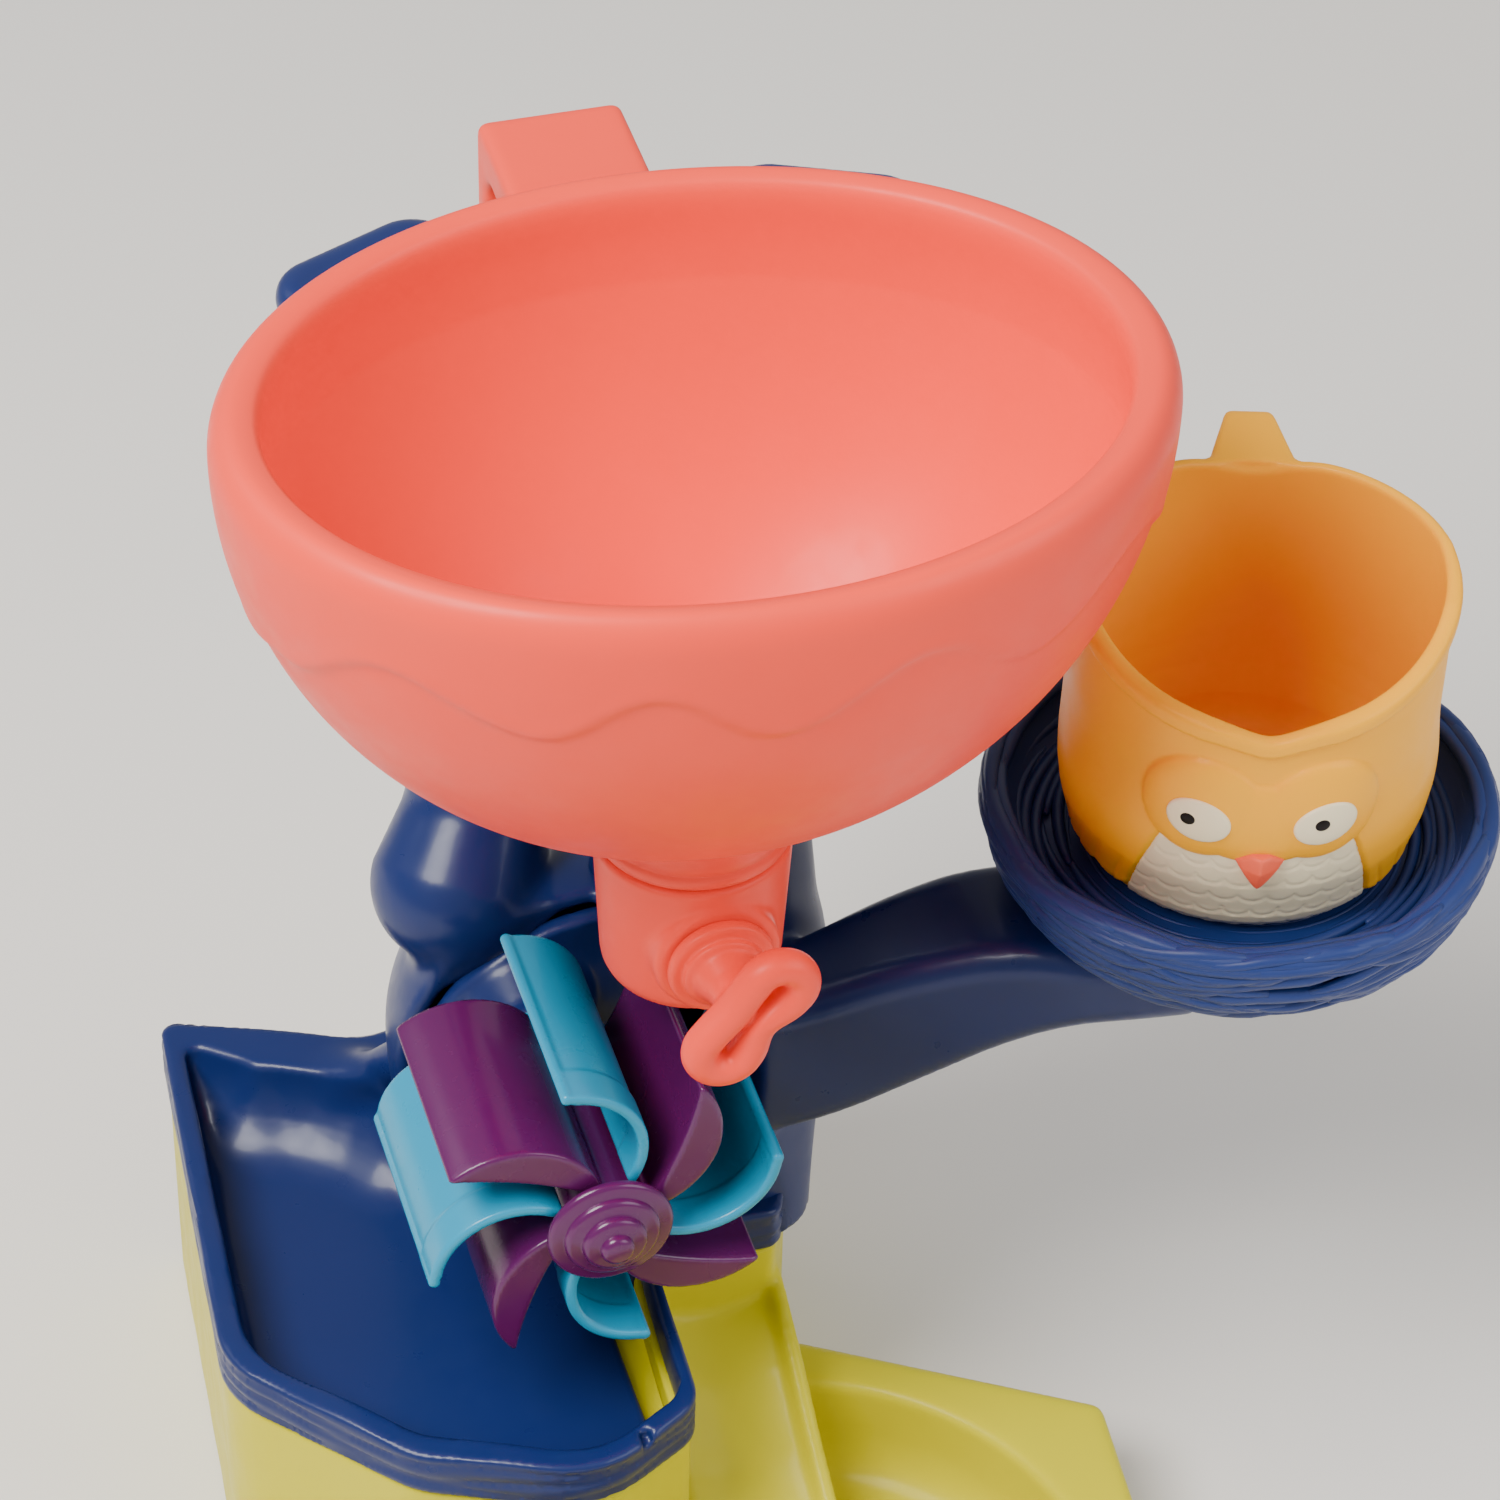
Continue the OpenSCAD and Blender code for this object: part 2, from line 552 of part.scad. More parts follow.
base_tray();
deck_tray();
trunk_shell();
axle_bracket();
limb_left();
limb_right();
bowl_yoke();
branch_arm();
nest();
owl_cup();
funnel_bowl();
outlet_cup();
stopper();
wheel_purple();
wheel_teal();
hub_cap();
axle();
axle_bush();
axle_washer();
axle_clip();
axle_nut();
trunk_screws();
bracket_screws();
limb_screws();
yoke_screw();
nest_screw();
deck_screws();
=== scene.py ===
import math
import random

import bpy
import numpy as np
from mathutils import Matrix, Vector


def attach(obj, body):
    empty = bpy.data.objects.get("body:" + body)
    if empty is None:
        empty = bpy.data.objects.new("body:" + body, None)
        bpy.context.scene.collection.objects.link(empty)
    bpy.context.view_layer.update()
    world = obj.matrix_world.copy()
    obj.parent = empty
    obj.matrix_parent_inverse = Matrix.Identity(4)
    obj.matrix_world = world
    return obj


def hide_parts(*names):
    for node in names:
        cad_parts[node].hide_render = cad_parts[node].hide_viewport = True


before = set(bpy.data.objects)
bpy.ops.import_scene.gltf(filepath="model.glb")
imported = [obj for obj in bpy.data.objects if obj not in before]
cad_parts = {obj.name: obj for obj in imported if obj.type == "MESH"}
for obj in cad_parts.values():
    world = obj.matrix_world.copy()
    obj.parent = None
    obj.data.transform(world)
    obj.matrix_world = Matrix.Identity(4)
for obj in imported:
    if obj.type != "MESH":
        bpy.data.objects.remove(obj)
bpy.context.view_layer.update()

COARSE = 1.0
RIM = 320.0

# ------------------------------------------------------------------ materials


def plastic(name, rgb, rough=0.3, coat=0.25, sss=0.0, var=0.05, bump=0.03, edge=0.18, fine=900.0, spec=0.5):
    m = bpy.data.materials.new(name)
    m.use_nodes = True
    nt = m.node_tree
    b = nt.nodes["Principled BSDF"]
    tc = nt.nodes.new("ShaderNodeTexCoord")

    def noise(scale, detail, rough_=0.5):
        n = nt.nodes.new("ShaderNodeTexNoise")
        n.inputs["Scale"].default_value = scale
        n.inputs["Detail"].default_value = detail
        n.inputs["Roughness"].default_value = rough_
        nt.links.new(tc.outputs["Object"], n.inputs["Vector"])
        return n

    broad = noise(22.0, 3.0)
    mid = noise(130.0, 4.0)
    grain = noise(fine, 4.0, 0.6)
    mix = nt.nodes.new("ShaderNodeMix")
    mix.data_type = "RGBA"
    mix.inputs["A"].default_value = (*[c * (1 - var) for c in rgb], 1)
    mix.inputs["B"].default_value = (*[min(1, c * (1 + var)) for c in rgb], 1)
    nt.links.new(broad.outputs["Fac"], mix.inputs["Factor"])
    # convex edges made a little paler, in patches, from the pointiness mask times noise
    geo = nt.nodes.new("ShaderNodeNewGeometry")
    ramp = nt.nodes.new("ShaderNodeMapRange")
    ramp.inputs["From Min"].default_value = 0.53
    ramp.inputs["From Max"].default_value = 0.66
    ramp.inputs["To Max"].default_value = edge
    nt.links.new(geo.outputs["Pointiness"], ramp.inputs["Value"])
    edge_paling = nt.nodes.new("ShaderNodeMath")
    edge_paling.operation = "MULTIPLY"
    nt.links.new(ramp.outputs["Result"], edge_paling.inputs[0])
    nt.links.new(mid.outputs["Fac"], edge_paling.inputs[1])
    pale = nt.nodes.new("ShaderNodeMix")
    pale.data_type = "RGBA"
    pale.inputs["B"].default_value = (*[min(1, c * 1.35 + 0.05) for c in rgb], 1)
    nt.links.new(edge_paling.outputs[0], pale.inputs["Factor"])
    nt.links.new(mix.outputs["Result"], pale.inputs["A"])
    nt.links.new(pale.outputs["Result"], b.inputs["Base Color"])
    rr = nt.nodes.new("ShaderNodeMapRange")
    rr.inputs["From Min"].default_value = 0.3
    rr.inputs["From Max"].default_value = 0.7
    rr.inputs["To Min"].default_value = max(0.04, rough - 0.05)
    rr.inputs["To Max"].default_value = rough + 0.07
    nt.links.new(mid.outputs["Fac"], rr.inputs["Value"])
    nt.links.new(rr.outputs["Result"], b.inputs["Roughness"])
    bp = nt.nodes.new("ShaderNodeBump")
    bp.inputs["Strength"].default_value = bump
    bp.inputs["Distance"].default_value = 0.0002
    nt.links.new(grain.outputs["Fac"], bp.inputs["Height"])
    nt.links.new(bp.outputs["Normal"], b.inputs["Normal"])
    b.inputs["Coat Weight"].default_value = coat
    b.inputs["Coat Roughness"].default_value = 0.12
    b.inputs["IOR"].default_value = 1.47
    b.inputs["Specular IOR Level"].default_value = spec
    if sss:
        b.inputs["Subsurface Weight"].default_value = sss
        b.inputs["Subsurface Radius"].default_value = (1.0, 0.45, 0.3)
        b.inputs["Subsurface Scale"].default_value = 0.003
    return m


CORAL = plastic("coral", (0.93, 0.062, 0.032), 0.42, 0.03, 0.04, spec=0.25)
NAVY = plastic("navy", (0.0075, 0.018, 0.098), 0.32, 0.1, edge=0.05, spec=0.3)
TWIG = plastic("twig", (0.013, 0.032, 0.15), 0.42, 0.0, edge=0.3, spec=0.35)
PURPLE = plastic("purple", (0.080, 0.003, 0.070), 0.24, 0.2, edge=0.08, spec=0.4)
TEAL = plastic("teal", (0.001, 0.255, 0.43), 0.3, 0.15, spec=0.35)
LIME = plastic("lime", (0.60, 0.535, 0.003), 0.4, 0.04, 0.03, spec=0.22)
YELLOW = plastic("yellow", (0.98, 0.42, 0.002), 0.42, 0.03, 0.04, spec=0.22)
CREAM = plastic("cream", (0.84, 0.72, 0.48), 0.4, 0.05, 0.05)
DARK = plastic("pupil", (0.008, 0.005, 0.005), 0.35, 0.0, edge=0.0, spec=0.15)
BEAK = plastic("beak", (0.86, 0.11, 0.05), 0.4, 0.05, spec=0.3)
BUSH = plastic("bush", (0.70, 0.66, 0.58), 0.5, 0.0)


def steel_mat():
    m = bpy.data.materials.new("steel")
    m.use_nodes = True
    nt = m.node_tree
    b = nt.nodes["Principled BSDF"]
    b.inputs["Metallic"].default_value = 1.0
    tc = nt.nodes.new("ShaderNodeTexCoord")
    n = nt.nodes.new("ShaderNodeTexNoise")
    n.inputs["Scale"].default_value = 400
    nt.links.new(tc.outputs["Object"], n.inputs["Vector"])
    r = nt.nodes.new("ShaderNodeMapRange")
    r.inputs["To Min"].default_value = 0.22
    r.inputs["To Max"].default_value = 0.42
    nt.links.new(n.outputs["Fac"], r.inputs["Value"])
    nt.links.new(r.outputs["Result"], b.inputs["Roughness"])
    mix = nt.nodes.new("ShaderNodeMix")
    mix.data_type = "RGBA"
    mix.inputs["A"].default_value = (0.50, 0.51, 0.52, 1)
    mix.inputs["B"].default_value = (0.62, 0.62, 0.63, 1)
    nt.links.new(n.outputs["Fac"], mix.inputs["Factor"])
    nt.links.new(mix.outputs["Result"], b.inputs["Base Color"])
    return m


STEEL = steel_mat()

# ------------------------------------------------------------------ mesh helpers


def put(name, verts, faces, mat, body, replaces=(), crease=0):
    me = bpy.data.meshes.new(name)
    me.from_pydata((np.asarray(verts, dtype=float) * 0.001).tolist(), [], [list(map(int, f)) for f in faces])
    me.validate()
    me.update()
    me.shade_smooth()
    if crease:
        me.set_sharp_from_angle(angle=math.radians(crease))
    ob = bpy.data.objects.new(name, me)
    bpy.context.collection.objects.link(ob)
    me.materials.append(mat)
    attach(ob, body)
    if replaces:
        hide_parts(*replaces)
    return ob


def nets(F, lo, h):
    nx, ny, nz = F.shape
    S = F < 0
    cnt = np.zeros((nx - 1, ny - 1, nz - 1), dtype=np.int8)
    for i in (0, 1):
        for j in (0, 1):
            for k in (0, 1):
                cnt += S[i:nx - 1 + i, j:ny - 1 + j, k:nz - 1 + k]
    act = (cnt > 0) & (cnt < 8)
    cells = np.argwhere(act)
    idx = np.full(act.shape, -1, dtype=np.int64)
    idx[act] = np.arange(len(cells))
    acc = np.zeros((len(cells), 3))
    num = np.zeros(len(cells))
    cs = [(i, j, k) for i in (0, 1) for j in (0, 1) for k in (0, 1)]
    for a in cs:
        for b in cs:
            if sum(b) - sum(a) == 1 and all(y >= x for x, y in zip(a, b)):
                fa = F[cells[:, 0] + a[0], cells[:, 1] + a[1], cells[:, 2] + a[2]]
                fb = F[cells[:, 0] + b[0], cells[:, 1] + b[1], cells[:, 2] + b[2]]
                c = (fa < 0) != (fb < 0)
                t = np.where(c, fa / np.where(c, fa - fb, 1), 0)
                p = np.array(a)[None] + t[:, None] * (np.array(b) - np.array(a))[None]
                acc += p * c[:, None]
                num += c
    verts = np.asarray(lo)[None] + h * (cells + acc / num[:, None])
    quads = []
    # x edges
    s0, s1 = S[:-1, 1:-1, 1:-1], S[1:, 1:-1, 1:-1]
    for flip in (False, True):
        e = np.argwhere(s0 & ~s1) if not flip else np.argwhere(~s0 & s1)
        i, j, k = e[:, 0], e[:, 1], e[:, 2]
        q = np.stack([idx[i, j, k], idx[i, j + 1, k], idx[i, j + 1, k + 1], idx[i, j, k + 1]], 1)
        quads.append(q[:, ::-1] if flip else q)
    s0, s1 = S[1:-1, :-1, 1:-1], S[1:-1, 1:, 1:-1]
    for flip in (False, True):
        e = np.argwhere(s0 & ~s1) if not flip else np.argwhere(~s0 & s1)
        i, j, k = e[:, 0], e[:, 1], e[:, 2]
        q = np.stack([idx[i, j, k], idx[i, j, k + 1], idx[i + 1, j, k + 1], idx[i + 1, j, k]], 1)
        quads.append(q[:, ::-1] if flip else q)
    s0, s1 = S[1:-1, 1:-1, :-1], S[1:-1, 1:-1, 1:]
    for flip in (False, True):
        e = np.argwhere(s0 & ~s1) if not flip else np.argwhere(~s0 & s1)
        i, j, k = e[:, 0], e[:, 1], e[:, 2]
        q = np.stack([idx[i, j, k], idx[i + 1, j, k], idx[i + 1, j + 1, k], idx[i, j + 1, k]], 1)
        quads.append(q[:, ::-1] if flip else q)
    return verts, np.concatenate(quads)


def form(name, f, lo, hi, h, mat, body, replaces=(), place=None):
    """Meshes the zero level of the distance field f(X, Y, Z) (mm) inside the box lo..hi with cells of h."""
    h = h * COARSE
    lo = np.array(lo, dtype=float)
    n = np.ceil((np.array(hi) - lo) / h).astype(int) + 1
    X = (lo[0] + h * np.arange(n[0]))[:, None, None]
    Y = (lo[1] + h * np.arange(n[1]))[None, :, None]
    Z = (lo[2] + h * np.arange(n[2]))[None, None, :]
    F = np.broadcast_to(f(X, Y, Z), tuple(n)).astype(np.float64)
    F = np.array(F)
    F[F == 0] = 1e-6
    verts, quads = nets(F, lo, h)
    for _ in range(2):
        v0 = f(verts[:, 0], verts[:, 1], verts[:, 2])
        g = []
        d = 0.15
        for a in range(3):
            o = np.zeros(3)
            o[a] = d
            p, q = verts + o, verts - o
            g.append((f(p[:, 0], p[:, 1], p[:, 2]) - f(q[:, 0], q[:, 1], q[:, 2])) / (2 * d))
        g = np.stack(g, 1)
        step = -v0[:, None] * g / np.maximum((g * g).sum(1), 0.25)[:, None]
        ln = np.sqrt((step * step).sum(1))
        step *= np.minimum(1, 0.5 * h / np.maximum(ln, 1e-9))[:, None]
        verts = verts + step
    if place is not None:
        verts = place(verts)
    return put(name, verts, quads, mat, body, replaces)


def L(*a):
    return np.sqrt(sum(v * v for v in a))


def smin(a, b, k):
    h = np.clip(0.5 + 0.5 * (b - a) / k, 0, 1)
    return b * (1 - h) + a * h - k * h * (1 - h)


def smax(a, b, k):
    return -smin(-a, -b, k)


def step01(t):
    t = np.clip(t, 0, 1)
    return t * t * (3 - 2 * t)


def cone(X, Y, Z, a, b, ra, rb, p=2.0):
    dx, dy, dz = b[0] - a[0], b[1] - a[1], b[2] - a[2]
    t = np.clip(((X - a[0]) * dx + (Y - a[1]) * dy + (Z - a[2]) * dz) / (dx * dx + dy * dy + dz * dz), 0, 1)
    ex, ey, ez = X - a[0] - t * dx, Y - a[1] - t * dy, Z - a[2] - t * dz
    if p == 2.0:
        return L(ex, ey, ez) - (ra + (rb - ra) * t)
    h = L(ex, ey)
    return (np.abs(h) ** p + np.abs(ez) ** p) ** (1 / p) - (ra + (rb - ra) * t)


def ell(X, Y, Z, c, r):
    x, y, z = X - c[0], Y - c[1], Z - c[2]
    k0 = L(x / r[0], y / r[1], z / r[2])
    k1 = L(x / r[0] ** 2, y / r[1] ** 2, z / r[2] ** 2)
    return k0 * (k0 - 1) / np.maximum(k1, 1e-6)


def box(X, Y, Z, lo, hi, r=1.0):
    d = []
    for v, a, b in zip((X, Y, Z), lo, hi):
        d.append(np.abs(v - (a + b) / 2) - (b - a) / 2 + r)
    out = L(*[np.maximum(v, 0) for v in d])
    return out + np.minimum(np.maximum(np.maximum(d[0], d[1]), d[2]), 0) - r


def poly2(X, Y, P):
    """Signed distance to a closed polygon."""
    P = np.asarray(P, dtype=float)
    d = None
    s = None
    for i in range(len(P)):
        a, b = P[i], P[i - 1]
        ex, ey = b[0] - a[0], b[1] - a[1]
        wx, wy = X - a[0], Y - a[1]
        t = np.clip((wx * ex + wy * ey) / (ex * ex + ey * ey), 0, 1)
        qx, qy = wx - ex * t, wy - ey * t
        dd = qx * qx + qy * qy
        c1, c2, c3 = wy >= 0, Y < b[1], ex * wy > ey * wx
        fl = (c1 & c2 & c3) | (~c1 & ~c2 & ~c3)
        if d is None:
            d, s = dd, np.where(fl, -1.0, 1.0)
        else:
            d = np.minimum(d, dd)
            s = np.where(fl, -s, s)
    return s * np.sqrt(d)


def rounded(P, n=5):
    out = []
    for i in range(len(P)):
        a, b, c = P[i - 1], P[i], P[(i + 1) % len(P)]
        p = np.array(b[:2], dtype=float)
        u = np.array(a[:2]) - p
        v = np.array(c[:2]) - p
        u, v = u / np.linalg.norm(u), v / np.linalg.norm(v)
        half = math.acos(max(-1, min(1, float(u @ v)))) / 2
        d = b[2] / math.tan(half)
        w = (u + v) / np.linalg.norm(u + v)
        m = p + w * b[2] / math.sin(half)
        s, t = p + u * d - m, p + v * d - m
        a0 = math.atan2(s[1], s[0])
        da = math.atan2(s[0] * t[1] - s[1] * t[0], float(s @ t))
        for k in range(n + 1):
            q = a0 + da * k / n
            out.append((m[0] + b[2] * math.cos(q), m[1] + b[2] * math.sin(q)))
    return out


def tube(points, radius, seg=9):
    """Round bar along points; radius is a number or one per point."""
    P = np.asarray(points, dtype=float)
    n = len(P)
    R = np.full(n, radius) if np.isscalar(radius) else np.asarray(radius)
    T = np.gradient(P, axis=0)
    T /= np.linalg.norm(T, axis=1)[:, None]
    up = np.array([0, 0, 1.0]) if abs(T[0][2]) < 0.9 else np.array([1.0, 0, 0])
    rings = []
    for i in range(n):
        u = np.cross(T[i], up)
        u /= np.linalg.norm(u)
        w = np.cross(u, T[i])
        up = w
        for k in range(seg):
            a = 2 * math.pi * k / seg
            rings.append(P[i] + R[i] * (math.cos(a) * u + math.sin(a) * w))
    faces = []
    for i in range(n - 1):
        for k in range(seg):
            k2 = (k + 1) % seg
            faces.append((i * seg + k, (i + 1) * seg + k, (i + 1) * seg + k2, i * seg + k2))
    v = list(rings)
    for end, i in ((0, 0), (1, n - 1)):
        c = len(v)
        v.append(P[i] + T[i] * R[i] * (0.5 if end else -0.5))
        for k in range(seg):
            k2 = (k + 1) % seg
            faces.append((c, i * seg + k, i * seg + k2) if not end else (c, i * seg + k2, i * seg + k))
    return np.array(v), faces


def merge(parts):
    V, Fc, o = [], [], 0
    for v, f in parts:
        V.append(np.asarray(v))
        Fc += [tuple(int(q) + o for q in g) for g in f]
        o += len(v)
    return np.concatenate(V), Fc


def grid(P, closed_u=True):
    """Faces over an (nu, nv, 3) array of points, closed along u."""
    nu, nv = P.shape[:2]
    f = []
    for i in range(nu if closed_u else nu - 1):
        i2 = (i + 1) % nu
        for j in range(nv - 1):
            f.append((i * nv + j, i2 * nv + j, i2 * nv + j + 1, i * nv + j + 1))
    return P.reshape(-1, 3), f


def lathe(profile, c=(0, 0, 0), axis="z", n=96):
    pr = np.asarray(profile, dtype=float)
    a = np.linspace(0, 2 * math.pi, n, endpoint=False)[:, None]
    r, h = pr[None, :, 0], pr[None, :, 1]
    if axis == "z":
        P = np.stack([c[0] + r * np.cos(a), c[1] + r * np.sin(a), c[2] + h + 0 * a], 2)
    else:
        P = np.stack([c[0] + r * np.cos(a), c[1] + h + 0 * a, c[2] - r * np.sin(a)], 2)
    return grid(P)


def smooth_profile(pts, n=6):
    """Catmull-Rom through the points."""
    P = np.asarray(pts, dtype=float)
    P = np.vstack([2 * P[0] - P[1], P, 2 * P[-1] - P[-2]])
    out = []
    for i in range(1, len(P) - 2):
        for k in range(n):
            t = k / n
            a, b, c, d = P[i - 1], P[i], P[i + 1], P[i + 2]
            out.append(0.5 * (2 * b + (c - a) * t + (2 * a - 5 * b + 4 * c - d) * t ** 2 + (3 * b - a - 3 * c + d) * t ** 3))
    out.append(P[-2])
    return np.array(out)


# ------------------------------------------------------------------ funnel bowl
# height of the wavy step round the outside, by angle in degrees (-90 is the front)
WAVE = [(-180, 281), (-162, 286), (-141, 300), (-121, 290), (-107, 301.5), (-93, 290), (-75, 303), (-58, 290), (-38, 301), (-18, 289),
        (4, 300), (28, 289), (52, 300), (90, 288), (125, 299), (150, 288), (166, 292), (180, 281)]


def wave(a):
    d = np.degrees(a)
    xs = np.array([w[0] for w in WAVE], dtype=float)
    zs = np.array([w[1] for w in WAVE], dtype=float)
    # cosine easing between crests and troughs
    i = np.clip(np.searchsorted(xs, d) - 1, 0, len(xs) - 2)
    t = (d - xs[i]) / (xs[i + 1] - xs[i])
    return zs[i] + (zs[i + 1] - zs[i]) * (0.5 - 0.5 * np.cos(np.pi * np.clip(t, 0, 1)))


def bowl():
    nu = 288 if COARSE == 1 else 144
    ang = np.linspace(-math.pi, math.pi, nu, endpoint=False)
    # outside from the drain upwards, over the lip and down the inside
    t_out = np.radians(np.linspace(8.2, 90, 120))
    out = [(100 * math.sin(t), RIM - 8 - 95 * math.cos(t)) for t in t_out]
    lip = [(94.5 + 5.5 * math.cos(t), RIM - 8 + 8 * math.sin(t)) for t in np.radians(np.linspace(6, 100, 18))]
    lip += [(91.0, RIM - 0.5), (89.9, RIM - 1.5), (89.3, RIM - 3.2), (89.2, RIM - 5.4), (89.6, RIM - 8.5), (90.2, RIM - 12)]
    t_in = np.radians(np.linspace(80, 8.2, 60))
    ins = [(92.8 * math.sin(t), RIM - 8 - 92 * math.cos(t)) for t in t_in]
    prof = np.array(out + lip + ins + [(13, 217.5)])
    n_out = len(out)
    r = prof[:, 0][None, :] * np.ones((nu, 1))
    z = prof[:, 1][None, :] * np.ones((nu, 1))
    a = ang[:, None]
    # lower part stands back behind the wavy step
    w = wave(ang)[:, None]
    k = step01((w - z) / 1.5 + 0.5) * 1.0
    k[:, n_out:] = 0
    k *= step01((z - 219) / 6)
    # a soft roll along the step's upper edge
    roll = 0.3 * np.exp(-((z - w - 2.0) / 1.8) ** 2)
    roll[:, n_out:] = 0
    r = r - k + roll * 0.8
    s = step01((r - 13) / 34)
    sx, sy = 1 - 0.05 * s, 1 - 0.26 * s
    P = np.stack([r * sx * np.cos(a), r * sy * np.sin(a), z], 2)
    v1, f1 = grid(P)
    # collar and spigot under the bowl
    v2, f2 = lathe([(13, 218), (13, 199), (17, 199), (17, 206), (19.6, 206), (20.5, 206.5), (20.8, 207.2), (20.8, 209.3), (20.4, 209.7), (20.4, 210.2), (20.8, 210.6), (20.8, 213), (20.9, 215), (21.4, 217.5), (22.2, 219.6), (24, 222)])
    f2 = [tuple(reversed(f)) for f in f2]
    v, f = merge([(v1, f1), (v2, f2)])
    put("bowl", v, f, CORAL, "bowl", ("funnel_bowl",), 50)


def handle(X, Y, Z):
    o = poly2(Y, Z, rounded([[62, 270, .5], [84, 268, 14], [104, 290, 12], [104, 316, 3.5], [68, 314.5, .5]], 8))
    i = poly2(Y, Z, rounded([[50, 276, 1], [84, 275, 9], [96.5, 291, 8], [96.5, 306, 5], [50, 303, 1]], 8))
    d = smax(o, -i, 1.2)
    d = smax(d, np.abs(X + 3) - 15.3, 2.6)
    q = ell(X, Y, np.minimum(Z, 312), (0, 0, 312), (91.5, 70.5, 93))
    return smax(d, -q, 0.8)


bowl()
form("bowl_handle", handle, (-21, 60, 265), (15, 106, 319), 0.8, CORAL, "bowl")


# ------------------------------------------------------------------ outlet and stopper
def outlet(X, Y, Z):
    rr = L(X, Y)
    ro = np.interp(Z, [170, 170.3, 171.5, 173.2, 175, 204.4, 205.5], [14.6, 16.4, 18.2, 18.95, 19.2, 20.8, 20.4])
    d = smax(rr - ro, np.abs(Z - 187.75) - 17.75, 1.0)
    boss = smax(L(X, Z - 187) - 13.5, np.abs(Y + 12.5) - 8.1, 1.6)
    d = smin(d, boss, 1.5)
    d = smax(d, -smax(rr - 17.05, 198.8 - Z, 0.3), 0.3)
    d = smax(d, -(rr - 7.5), 0.6)
    bore = smax(L(X, Z - 187) - 9, Y - 10.8, 0.3)
    return smax(d, -bore, 0.6)


form("outlet", outlet, (-22, -22, 168.5), (22, 22, 214.5), 0.7, CORAL, "bowl", ("outlet_cup",))


def stop(X, Y, Z):
    z = Z - 187
    rr = L(X, z)
    d = smax(rr - 8.95, np.abs(Y + 5.3) - 15.6, 1.0)
    fl = smax(rr - 11.4, np.abs(Y + 22.45) - 1.55, 1.2)
    fl2 = smax(rr - 8.6, np.abs(Y + 24.6) - 1.0, 0.8)
    d = min_(d, fl, fl2)
    stem = smax(L(X - 0.8 * np.clip((-24 - Y) / 10, 0, 1), z) - np.interp(Y, [-35, -30, -23.8], [5.0, 5.6, 8.0]), np.abs(Y + 29.5) - 7, 1.0)
    d = smin(d, stem, 1.2)
    c, s = math.cos(math.radians(53)), math.sin(math.radians(53))
    p, q = (X - 1.6) * c + (z + 0.6) * s, -(X - 1.6) * s + (z + 0.6) * c
    # long axis runs up to the right in the picture, waist on the lower side
    low = step01((1.6 - q) / 3.2)
    wide = 5.2 - (0.5 + 2.1 * low) * np.exp(-(p / 4.6) ** 2)
    line = np.abs(L(np.maximum(np.abs(p) - 9.2, 0), q) - wide)
    loop = L(line, Y + 38.3 + 0.0 * p) - 3.85
    return smin(d, loop, 2.2)


def min_(*a):
    o = a[0]
    for v in a[1:]:
        o = np.minimum(o, v)
    return o


form("stopper_visual", stop, (-21, -44, 163), (24, 12, 211), 0.6, CORAL, "stopper", ("stopper",))


# ------------------------------------------------------------------ wheel
WX, WZ, WY0, WY1 = -25.3, 123.0, -27.0, 26.0


def polar(r, a):
    return np.array([r * math.cos(math.radians(a)), r * math.sin(math.radians(a))])


def arc(p, q, s):
    n = np.linalg.norm(q - p)
    r = ((n / 2) ** 2 + s * s) / (2 * s)
    d = (q - p) / n
    return (p + q) / 2 + np.array([d[1], -d[0]]) * (s - r), r


def purple(X, Y, Z):
    x, z = X - WX, Z - WZ
    rr = L(x, z)
    d = smax(rr - 9.5, np.abs(Y + 1.3) - 26.6, 0.8)
    blades = None
    for k in range(4):
        tip, root = polar(40, 149.5 + 90 * k), polar(7, 93.5 + 90 * k)
        c1, r1 = arc(root, tip, 11)
        c2, r2 = arc(root, tip, 2)
        b = smax(L(x - c1[0], z - c1[1]) - r1, -(L(x - c2[0], z - c2[1]) - r2), 0.9)
        blades = b if blades is None else np.minimum(blades, b)
    blades = smax(blades, np.abs(Y + 2.6) - 24.4, 0.8)
    d = smin(d, blades, 1.5)
    return smax(d, -(rr - 3.0), 0.2)


def teal(X, Y, Z):
    x, z = X - WX, Z - WZ
    rr = L(x, z)
    d = smax(rr - 15, np.abs(Y - 23.9) - 1.5, 0.6)
    blades = None
    for k in range(4):
        tip, root = polar(39.7, 192.9 + 90 * k), polar(10.6, 148.9 + 90 * k)
        c, r = arc(root, tip, 10)
        e = (tip - root) / np.linalg.norm(tip - root)
        # thicker bead along the front end and the outer edge
        front = step01((-Y - 17.5) / 1.2) * 0.7
        side = (x - root[0]) * (-e[1]) + (z - root[1]) * e[0]
        b = np.abs(L(x - c[0], z - c[1]) - (r - 1.3)) - (0.85 + front * 0.6)
        b = smax(b, side, 0.6)
        bead = L(x - tip[0] * 0.972, z - tip[1] * 0.972) - 1.25
        b = smin(b, bead, 0.8)
        blades = b if blades is None else np.minimum(blades, b)
    blades = smax(blades, np.abs(Y + 0.8) - 26.2, 0.9)
    d = np.minimum(d, blades)
    return smax(d, -(rr - 9.6), 0.2)


